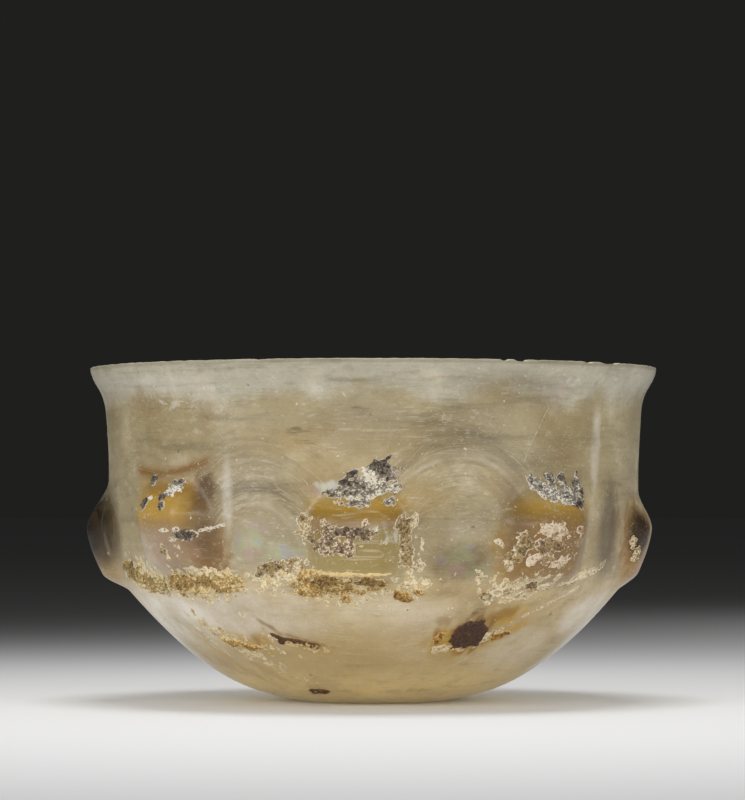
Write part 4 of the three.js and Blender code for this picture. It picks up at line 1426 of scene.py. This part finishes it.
CRUST_FINISHES = (
    CrustFinish(
        CrustKind.GREY, srgb(46, 38, 33), srgb(132, 121, 106), srgb(242, 236, 220), srgb(230, 220, 200),
        2600, 0.2, 0.8,
    ),
    CrustFinish(
        CrustKind.TAN, srgb(84, 66, 42), srgb(168, 142, 94), srgb(230, 216, 184), srgb(238, 226, 202),
        2800, 0.2, 0.7,
    ),
    CrustFinish(
        CrustKind.IRON, srgb(56, 32, 20), srgb(84, 52, 28), srgb(214, 186, 124), srgb(120, 84, 44),
        1900, 0.05, 0.22,
    ),
)


@dataclass(frozen=True)
class Blot:
    """A part of a crust, in millimetres from the middle of its CAD node.

    Tone is 0 for dark and 1 for pale, and a ring is open in its middle.
    """

    across: float
    up: float
    half_width: float
    half_height: float
    tone: float = 0.5
    lean: float = 0.0
    ring: bool = False

    def level(self, across: np.ndarray, up: np.ndarray, fullness: float) -> np.ndarray:
        """How deep each place lies in the blot: 1 in its middle, 0 at its edge, less outside."""
        lean = math.radians(self.lean)
        x = across / MM - self.across
        y = up / MM - self.up
        along = (x * math.cos(lean) + y * math.sin(lean)) / self.half_width
        side = (y * math.cos(lean) - x * math.sin(lean)) / self.half_height
        near = np.hypot(along, side) / fullness
        return 1 - np.abs(near - 0.68) / 0.32 if self.ring else 1 - near


# Each row holds the values of a Blot, in order.
CRUST_ROWS: dict[str, tuple[tuple[float, ...], ...]] = {
    "front_rib_shoulder_crust": (
        (-1.9, -0.7, 6.0, 2.1, 0.5, 12), (3.7, 1.6, 3.9, 2.4, 0.5, 20), (3.6, 4.4, 3.0, 1.5, 0.15, 22),
        (-2.8, 2.3, 1.5, 1.0, 0.05), (-4.9, 0.7, 1.0, 0.8, 0.05), (7.0, -0.7, 1.4, 1.3, 0.8),
        (2.2, 1.5, 2.8, 1.9, 1.4, -40), (-0.9, -4.2, 2.8, 0.8, 0.5), (-1.2, -2.8, 3.6, 0.6, 1.0),
        (3.2, -2.0, 3.6, 0.5, 1.0, 28), (5.8, -3.9, 1.2, 1.0, 0.45),
    ),
    "front_rib_left_edge_crust": (
        (-0.1, 0.3, 1.9, 3.0, 0.75), (-0.4, 2.2, 0.9, 0.8, 0.2), (1.5, -2.2, 0.8, 1.2, 0.2),
    ),
    "front_rib_middle_crust": (
        (0.5, 1.9, 5.6, 1.3, 0.42), (5.3, 1.3, 1.4, 1.5, 0.4), (-2.3, -0.9, 3.6, 2.4, 0.55),
        (-3.6, -2.0, 1.8, 1.2, 0.85), (1.6, -1.6, 1.3, 2.1, 0.7), (-3.9, 3.9, 0.7, 1.0, 0.8),
        (5.1, 3.7, 0.9, 0.9, 0.8),
    ),
    "front_rib_right_edge_crust": (
        (-0.5, 3.5, 1.9, 3.5, 0.35), (0.5, -3.0, 1.8, 3.0, 0.5, 10), (3.3, -5.2, 1.1, 1.4, 1.0),
        (2.1, 5.3, 0.9, 1.6, 0.95),
    ),
    "front_rib_low_left_crust": (
        (-2.4, -0.5, 3.6, 1.6, 0.4, 14), (2.3, 0.6, 2.2, 1.4, 0.5, 15), (4.9, 0.9, 1.9, 1.3, 0.75),
    ),
    "front_rib_ledge_crust": (
        (-7.0, -1.0, 4.0, 1.9, 0.72), (-6.6, 3.0, 3.2, 1.3, 0.9), (3.6, 3.7, 6.8, 0.5, 1.4, -1),
        # (3.6, 3.7) is a painted highlight: the pale line along the top of the ledge.
        (-3.1, 1.5, 5.0, 1.7, 0.25), (0.5, -0.9, 4.6, 2.0, 0.55), (7.3, 1.6, 3.4, 1.5, 0.15),
        (8.7, -0.6, 2.0, 1.0, 0.55), (1.5, -3.5, 1.5, 1.3, 0.75),
    ),
    "front_rib_ledge_end_crust": ((0, 0, 2.2, 1.4, 0.4, -25), (3.6, 1.2, 1.2, 0.9, 0.5)),
    "left_front_rib_chip_crust": (
        (0.9, 0.9, 2.2, 1.5, 1.05), (1.3, 2.2, 1.6, 0.8, 0.15), (-1.8, -1.0, 1.6, 0.8, 0.05, 30),
        (-1.0, -3.0, 1.1, 0.9, 0.15),
    ),
    "left_front_rib_upper_speck": ((0, 0, 1.2, 1.3, 0.25),),
    "left_front_rib_outer_speck": ((0, 0, 1.4, 1.1, 0.1), (1.3, 1.0, 0.7, 0.5, 1.0)),
    "left_front_rib_streak_crust": (
        (-6.3, 1.2, 1.5, 0.4, 0.9), (-4.3, -0.9, 1.3, 0.6, 0.8), (-1.0, 0.0, 2.2, 1.1, 0.2),
        (-2.6, 1.4, 0.8, 0.8, 0.9), (3.3, 0.9, 1.9, 0.6, 0.85, 10), (6.7, 1.7, 1.6, 0.4, 0.9, 12),
    ),
    "left_front_rib_low_speck": ((0, 0.4, 0.9, 1.2, 0.45), (0.7, -1.1, 0.7, 0.6, 0.8)),
    "left_front_rib_band_crust": (
        (-6.5, 1.9, 5.2, 2.0, 0.3, -14), (2.0, -0.6, 7.2, 2.3, 0.5, -12), (-1.0, -2.0, 4.0, 0.9, 0.9, -14),
        (8.0, -1.6, 3.6, 1.8, 0.6),
    ),
    "left_front_rib_ledge_crust": (
        (-7.0, 0.3, 4.2, 2.5, 0.42), (-4.0, -1.6, 3.0, 1.0, 0.9), (0.0, 0.6, 5.0, 2.0, 0.35),
        (7.0, 0.7, 4.6, 2.2, 0.7), (-0.8, -0.9, 1.4, 1.3, 1.3), (5.0, -0.8, 2.4, 1.2, 0.3),
    ),
    "right_front_rib_shoulder_crust": (
        (-6.5, 1.6, 3.2, 1.2, 0.5, -35), (-2.5, -0.2, 4.0, 2.1, 0.85, -10), (2.5, -1.2, 4.6, 2.1, 0.6, -14),
        (-2.2, 3.0, 1.2, 1.1, 0.3), (1.9, 3.4, 1.2, 1.3, 0.25), (6.9, 1.2, 1.4, 2.6, 0.35, 10),
        (5.6, -3.0, 2.6, 0.9, 0.05), (8.6, -1.2, 0.9, 1.8, 0.3),
    ),
    "right_front_rib_edge_crust": (
        (0.9, 1.9, 1.7, 2.2, 0.3, -25), (-0.3, -1.2, 1.5, 2.7, 0.38, -25), (-1.4, -3.6, 1.0, 1.2, 0.75),
        (-3.8, 1.2, 1.3, 0.6, 0.85, -30),
    ),
    "right_front_rib_middle_crust": (
        (-1.6, 3.9, 2.2, 1.5, 1.05), (1.3, 3.4, 1.8, 1.9, 0.95), (-0.2, 3.2, 0.8, 0.7, -0.1),
        (-1.8, 0.6, 2.5, 1.8, 0.3), (1.6, 0.2, 1.6, 1.3, 0.35), (-0.8, -2.6, 1.8, 1.5, 0.5),
        (-4.4, -2.8, 1.5, 1.2, 1.0, 40), (4.0, -3.4, 1.7, 1.2, 0.9), (1.6, -4.0, 1.2, 0.9, 0.95),
    ),
    "right_front_rib_speck": ((0, 0.5, 0.9, 0.8, 0.7), (0.5, -0.8, 0.5, 0.6, 0.5)),
    "right_front_rib_ledge_crust": (
        (2.3, 2.0, 1.8, 1.2, 0.25), (-8.6, -1.2, 1.4, 1.1, 0.5, 0, True),
        (-6.0, -0.5, 1.9, 1.1, 0.85, 0, True), (-3.2, 0.2, 2.0, 1.2, 0.7),
        (0.5, 0.0, 2.4, 1.2, 0.9, 0, True), (4.0, 0.3, 2.2, 1.2, 0.85), (7.0, 1.3, 1.8, 1.1, 0.95, 0, True),
    ),
    # These pale blots are a painted highlight: the glare along the ledge's edge, laid as a thin crust.
    "right_front_rib_streak_crust": (
        (-5.0, -1.3, 2.6, 0.6, 0.9, 15), (0.0, 0.0, 3.6, 0.6, 1.0, 15), (5.0, 1.3, 2.6, 0.5, 0.9, 15),
    ),
    "right_rib_crust": ((-0.9, 1.2, 0.8, 1.9, 0.6), (0.8, -1.2, 1.2, 1.7, 0.7)),
    "iron_spot_crust": (
        # (-0.2, 1.2) is a painted highlight in the dark spot.
        (0.3, 0.6, 4.2, 4.4, -0.05), (-0.2, 1.2, 0.35, 1.5, 1.3), (-1.4, -3.9, 1.7, 0.7, 0.9, 25),
    ),
    "iron_left_flake": ((0, 0, 0.9, 2.1, 0.4, -10), (0.6, 1.6, 1.0, 0.6, 0.3)),
    "iron_right_flake": ((0, 0, 2.1, 1.0, 0.35, 20), (2.2, 1.0, 1.0, 0.6, 0.3)),
    "low_left_crust": (
        (-2.4, 0.6, 2.4, 1.0, 0.5), (2.2, -0.6, 2.6, 1.1, 0.6), (-5.0, 1.4, 1.6, 0.6, 0.6, -15),
    ),
    "low_left_iron_crust": (
        (-3.6, 1.3, 2.2, 0.6, 0.25, -38), (-3.4, -0.2, 0.8, 1.0, 0.2), (0.2, -0.2, 3.0, 1.0, 0.75, -12),
        (0.6, 0.5, 2.4, 0.35, 0.1, -16), (4.0, -0.9, 2.6, 0.7, 0.8, -14), (4.6, -0.6, 1.4, 0.25, 0.2, -20),
        (2.5, -1.4, 3.4, 0.4, 1.0, -14),
    ),
    "floor_edge_crust": ((0, 0, 2.6, 1.4, 0.2),),
}

CRUSTS = {node: tuple(Blot(*row) for row in rows) for node, rows in CRUST_ROWS.items()}

# A tint over the whole of a crust.
CASTS: dict[str, Colour] = {
    "front_rib_shoulder_crust": srgb(255, 251, 244),
    "front_rib_middle_crust": srgb(255, 236, 212),
    "front_rib_ledge_crust": srgb(255, 240, 202),
    "front_rib_ledge_end_crust": srgb(255, 232, 180),
    "left_front_rib_streak_crust": srgb(255, 248, 238),
    "left_front_rib_ledge_crust": srgb(255, 244, 214),
    "left_front_rib_band_crust": srgb(246, 244, 222),
    "right_front_rib_middle_crust": srgb(250, 244, 250),
    "right_front_rib_speck": srgb(248, 242, 250),
    "right_rib_crust": srgb(255, 238, 206),
    "iron_left_flake": srgb(255, 224, 156),
    "iron_right_flake": srgb(255, 224, 156),
    "low_left_crust": srgb(255, 234, 184),
}


def cut_islands(level: np.ndarray) -> tuple[np.ndarray, np.ndarray, np.ndarray, np.ndarray, np.ndarray]:
    """Cuts a grid along the zero line of its levels and keeps what lies above.

    Args:
        level: The level at each grid point, as rows by columns.

    Returns:
        For each corner the grid point that it starts from, the one that it leans towards and its share of
        the way, then the triangles, then the edges along the cut.
    """
    rows, columns = level.shape
    flat = level.ravel()
    index = np.arange(flat.size).reshape(rows, columns)
    a, b, c, d = index[:-1, :-1], index[:-1, 1:], index[1:, 1:], index[1:, :-1]
    cells = np.concatenate([np.stack([a, b, c], -1).reshape(-1, 3), np.stack([a, c, d], -1).reshape(-1, 3)])
    above = flat[cells] > 0
    count = above.sum(axis=1)

    def key(first: np.ndarray, second: np.ndarray) -> np.ndarray:
        """One number for the way between two grid points, or for a point itself."""
        return np.minimum(first, second) * flat.size + np.maximum(first, second)

    def turned(kept: np.ndarray, odd: np.ndarray) -> np.ndarray:
        """Cells turned so that the odd corner comes first."""
        order = (odd.argmax(axis=1)[:, None] + np.arange(3)) % 3
        return np.take_along_axis(kept, order, axis=1)

    whole = cells[count == 3]
    tip = turned(cells[count == 1], above[count == 1])
    cut = turned(cells[count == 2], ~above[count == 2])
    tip_left, tip_right = key(tip[:, 0], tip[:, 1]), key(tip[:, 0], tip[:, 2])
    cut_left, cut_right = key(cut[:, 0], cut[:, 1]), key(cut[:, 0], cut[:, 2])
    second, third = key(cut[:, 1], cut[:, 1]), key(cut[:, 2], cut[:, 2])
    triangles = np.concatenate(
        [
            key(whole, whole),
            np.stack([key(tip[:, 0], tip[:, 0]), tip_left, tip_right], -1),
            np.stack([cut_left, second, third], -1),
            np.stack([cut_left, third, cut_right], -1),
        ]
    )
    rim = np.concatenate([np.stack([tip_left, tip_right], -1), np.stack([cut_right, cut_left], -1)])
    keys, numbers = np.unique(triangles, return_inverse=True)
    start, end = keys // flat.size, keys % flat.size
    span = np.where(start == end, 1, flat[start] - flat[end])
    share = np.where(start == end, 0, np.clip(flat[start] / span, 0.1, 0.9))
    return start, end, share, numbers.reshape(-1, 3), np.searchsorted(keys, rim)


@dataclass
class Crusts:
    """The crusts, each a lumpy ragged patch on the glass where its CAD node is."""

    vessel: Vessel
    step: float = 0.22 * MM
    margin: float = 2 * MM
    fullness: float = 1.16
    thickness: float = 0.95 * MM
    root: float = 0.01 * MM
    rim: float = 0.07 * MM
    rounding: float = 0.55 * MM
    edge_from: float = 0.08 * MM
    edge_to: float = 0.24 * MM
    shortest_wave: float = 0.5 * MM
    longest_edge_wave: float = 5 * MM
    longest_lump: float = 2.2 * MM
    tone_sharpness: float = 5
    join_sharpness: float = 6
    inset: float = 0.06

    def _middle(self, node: str) -> tuple[float, float]:
        """The azimuth of a CAD node's middle, and how far along the profile it lies."""
        points = np.array([corner.co for corner in frame["nodes"][node].data.vertices])
        azimuth = np.degrees(np.arctan2(points[:, 0], -points[:, 1]))
        middle = (azimuth.max() + azimuth.min()) / 2
        level = (points[:, 2].max() + points[:, 2].min()) / 2
        along = np.linspace(0, self.vessel.outer.length, 900)
        curve = self.vessel.outside(np.full(900, middle), along)
        near = np.abs(curve[:, 2] - level) + (curve[:, 2] > level) * self.step
        return float(middle), float(along[near.argmin()])

    def _grid(
        self, blots: tuple[Blot, ...], ragged: float, draw: np.random.Generator
    ) -> tuple[np.ndarray, ...]:
        """One crust on a flat grid.

        Args:
            blots: The parts that it is joined from.
            ragged: How ragged its edge is.
            draw: The source of the random draws.

        Returns:
            Two places in metres, across and up, the level, above 0 in the crust, the lumps and the tone.
        """
        wide = max(abs(blot.across) + blot.half_width for blot in blots) * MM + self.margin
        tall = max(abs(blot.up) + blot.half_height for blot in blots) * MM + self.margin
        across, up = np.meshgrid(np.arange(-wide, wide, self.step), np.arange(-tall, tall, self.step))
        edge_noise = Grain(draw, self.shortest_wave, self.longest_edge_wave).at(across, up)
        lumps = Grain(draw, self.shortest_wave, self.longest_lump).at(across, up)
        levels = np.stack([blot.level(across, up, self.fullness) for blot in blots])
        held = np.clip(levels, -3, 1)
        weights = np.exp(self.tone_sharpness * held)
        tones = np.array([blot.tone for blot in blots])[:, None, None]
        tone = (weights * tones).sum(axis=0) / weights.sum(axis=0)
        joined = np.log(np.exp(self.join_sharpness * held).sum(axis=0)) / self.join_sharpness
        level = joined + ragged * edge_noise - self.inset
        level[[0, -1], :] = level[:, [0, -1]] = -1
        return across, up, level, lumps, tone

    @staticmethod
    def _slab(face: np.ndarray, back: np.ndarray, triangles: np.ndarray, cut: np.ndarray) -> Shape:
        """A closed slab between a face and its back, with walls along the edges of the cut."""
        count = len(face)
        first, last = cut.T
        walls = np.concatenate(
            [np.stack([last, first, first + count], -1), np.stack([last, first + count, last + count], -1)]
        )
        shape = Shape()
        faces = np.concatenate([triangles, triangles[:, ::-1] + count, walls])
        shape.add(np.vstack([face, back]), NO_QUADS, faces)
        return shape

    def build(self, node: str, finish: CrustFinish, seed: int) -> bpy.types.Object:
        """Builds one crust.

        Args:
            node: Name of the CAD node that it stands for.
            finish: Its finish.
            seed: Seed of its ragged edge and lumps.

        Returns:
            The crust object.
        """
        azimuth, along = self._middle(node)
        draw = np.random.default_rng(seed)
        across, up, level, lumps, tone = self._grid(CRUSTS[node], finish.ragged, draw)
        slope = np.hypot(*np.gradient(level, self.step)) + 1e-6
        inward = level / slope
        start, end, share, triangles, rim_edges = cut_islands(level)

        def spread(values: np.ndarray) -> np.ndarray:
            """Values on the grid, taken to the corners of the cut."""
            flat = values.ravel()
            return flat[start] + (flat[end] - flat[start]) * share

        depth = np.maximum(spread(inward), 0)
        body = smoothstep(depth, 0, self.rounding)
        lumpy = np.clip(0.42 + 0.26 * finish.relief * spread(lumps), 0.05, 1.0)
        lift = self.rim + body * self.thickness * lumpy
        climb = along + spread(up)
        radius = np.maximum(self.vessel.outer.at(climb)[0][..., 0], 5 * MM)
        turned = azimuth + np.degrees(spread(across) / radius)
        face = self.vessel.outside(turned, climb, lift)
        back = self.vessel.outside(turned, climb, self.root)
        count = len(face)
        crust = self._slab(face, back, triangles, rim_edges).build(node + "_relief")
        edge = 1 - smoothstep(depth, self.edge_from, self.edge_to)
        add_mask(crust, "edge", np.r_[edge, np.ones(count)])
        add_mask(crust, "tone", np.tile(spread(tone), 2))
        cast = crust.data.attributes.new("cast", "FLOAT_COLOR", "POINT")
        cast.data.foreach_set("color", np.tile(CASTS.get(node, srgb(255, 255, 255)), 2 * count))
        return ride_as(crust, finish.kind.value, node)

    def build_all(self) -> None:
        """Builds every crust, with the kind that the record gives its node."""
        finishes = {finish.kind: finish for finish in CRUST_FINISHES}
        materials = {finish.kind: finish.material() for finish in CRUST_FINISHES}
        for seed, row in enumerate(frame["record"]["subparts"]):
            if row["node"] not in CRUSTS:
                continue
            kind = CrustKind(row["material_slot"])
            crust = self.build(row["node"], finishes[kind], seed)
            crust.data.materials.append(materials[kind])
            log.info("built %s with %d faces", crust.name, len(crust.data.polygons))


@dataclass(frozen=True)
class Lamp:
    """A square lamp: its name, its place and side in metres, and its power in watts."""

    name: str
    place: tuple[float, float, float]
    side: float
    power: float


LAMPS = (
    Lamp("lamp_above", (0.0, 0.05, 1.6), 0.5, 10),
    Lamp("lamp_left", (-1.3, -0.9, 0.4), 0.8, 8.5),
    Lamp("lamp_right", (1.3, -0.9, 0.35), 0.8, 6.5),
    Lamp("lamp_front", (0.0, -1.5, 0.1), 0.5, 6),
)


@dataclass
class Studio:
    """The floor, the air, the lamps and the camera."""

    # Paper is the floor's colour inside the painted pool of light round the bowl; shade is the painted
    # falloff far from it.
    paper: Colour = srgb(238, 238, 238)
    shade: Colour = srgb(54, 54, 53)
    dark: Colour = srgb(31, 31, 29)
    radius: float = 30.0
    drop: float = 0.06 * MM
    light_pool: tuple[float, float, float] = (0.0, -0.095, 0.0)
    light_pool_radius: float = 0.383
    side_light_pool: tuple[float, float, float] = (0.45, 0.45, 0.0)
    side_light_pool_share: float = 0.35
    light_pool_fall: float = 2.2
    air_light: float = 0.5
    aim: tuple[float, float, float] = (0, 0, 40 * MM)
    camera_place: tuple[float, float, float] = (-0.25 * MM, -980 * MM, 46.5 * MM)

    def build(self) -> None:
        """Builds all of it."""
        self._floor()
        self._air()
        for lamp in LAMPS:
            self._lamp(lamp)
        self._camera()

    def _floor(self) -> None:
        """A wide round floor, with a painted pool of light round the bowl and a fainter one to its right,
        fading to painted shade far from it.
        """
        sides = 64
        angle = np.arange(sides) * 2 * math.pi / sides
        rim = np.stack([np.cos(angle), np.sin(angle), 0 * angle], -1) * self.radius
        points = np.vstack([[[0, 0, 0]], rim]) - (0, 0, self.drop)
        index = np.arange(sides)
        fan = np.stack([np.zeros(sides, int), 1 + index, 1 + (index + 1) % sides], -1)
        shape = Shape()
        shape.add(points, NO_QUADS, fan)
        floor = shape.build("studio_floor")
        material, nodes, shader = new_material("paper_with_painted_light_pool")
        place = nodes.add("TexCoord").outputs["Object"]
        # Painted light: the pool round the bowl and a fainter one to the right, over painted shade.
        middle = self._light_pool(nodes, place, self.light_pool)
        side = nodes.product(self._light_pool(nodes, place, self.side_light_pool), self.side_light_pool_share)
        lit = nodes.math("ADD", middle, side)
        colour = nodes.mix(lit, self.shade, self.paper)
        nodes.fill(shader, {"Base Color": colour, "Roughness": 0.9, "Specular IOR Level": 0.2})
        floor.data.materials.append(material)

    def _light_pool(self, nodes: Tree, place: object, middle: tuple[float, float, float]) -> bpy.types.NodeSocket:
        """A soft round mask for a painted pool of light on the floor, 1 at its middle."""
        far = nodes.add("VectorMath", {0: place, 1: middle}, operation="DISTANCE").outputs["Value"]
        fall = nodes.math("POWER", nodes.math("DIVIDE", far, self.light_pool_radius), self.light_pool_fall)
        return nodes.math("EXPONENT", nodes.math("MULTIPLY", fall, -1.0))

    def _air(self) -> None:
        """Even light from all round, and a dark backdrop where it is seen."""
        world = bpy.data.worlds.new("studio_air")
        bpy.context.scene.world = world
        world.use_nodes = True
        nodes = Tree(world.node_tree)
        even = world.node_tree.nodes["Background"]
        nodes.fill(even, {"Color": (1, 1, 1, 1), "Strength": self.air_light})
        seen = nodes.add("Background", {"Color": self.dark, "Strength": 1.0})
        path = nodes.add("LightPath").outputs
        looked = nodes.cover(path["Is Camera Ray"], path["Is Glossy Ray"], path["Is Transmission Ray"])
        straight = nodes.math("LESS_THAN", path["Diffuse Depth"], 0.5)
        sides = {0: nodes.product(looked, straight), 1: even.outputs[0], 2: seen.outputs[0]}
        both = nodes.add("MixShader", sides)
        nodes.feed(world.node_tree.nodes["World Output"].inputs["Surface"], both.outputs[0])

    def _lamp(self, lamp: Lamp) -> None:
        """Adds a lamp and turns it to the bowl."""
        light = bpy.data.lights.new(lamp.name, "AREA")
        light.shape = "SQUARE"
        light.size = lamp.side
        light.energy = lamp.power
        holder = bpy.data.objects.new(lamp.name, light)
        holder.location = lamp.place
        aim = Vector(self.aim) - Vector(lamp.place)
        holder.rotation_euler = aim.to_track_quat("-Z", "Y").to_euler()
        bpy.context.scene.collection.objects.link(holder)

    def _camera(self) -> None:
        """The camera, level with the middle of the wall, tipped up by the photograph's framing."""
        image_height = 800
        horizon_row = 512
        focal_pixels = 3955
        sensor = 36.0
        data = bpy.data.cameras.new("camera")
        data.sensor_width = sensor
        data.lens = focal_pixels * sensor / image_height
        camera = bpy.data.objects.new("camera", data)
        camera.location = self.camera_place
        tip = math.atan((horizon_row - image_height / 2) / focal_pixels)
        camera.rotation_euler = (math.pi / 2 + tip, 0, 0)
        bpy.context.scene.collection.objects.link(camera)
        bpy.context.scene.camera = camera


def write_sizes() -> None:
    """Updates the view layer."""
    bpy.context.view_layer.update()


def main() -> None:
    """Builds the glass, its weathering, its crusts and the studio, in that order."""
    bpy.context.scene.view_settings.view_transform = "Standard"
    vessel = Vessel()
    log.info("built %s", vessel.build_glass().name)
    log.info("built %s", vessel.build_skin().name)
    log.info("built %s", PaleLines(vessel).build().name)
    Crusts(vessel).build_all()
    Studio().build()
    write_sizes()


if __name__ == "__main__":
    main()
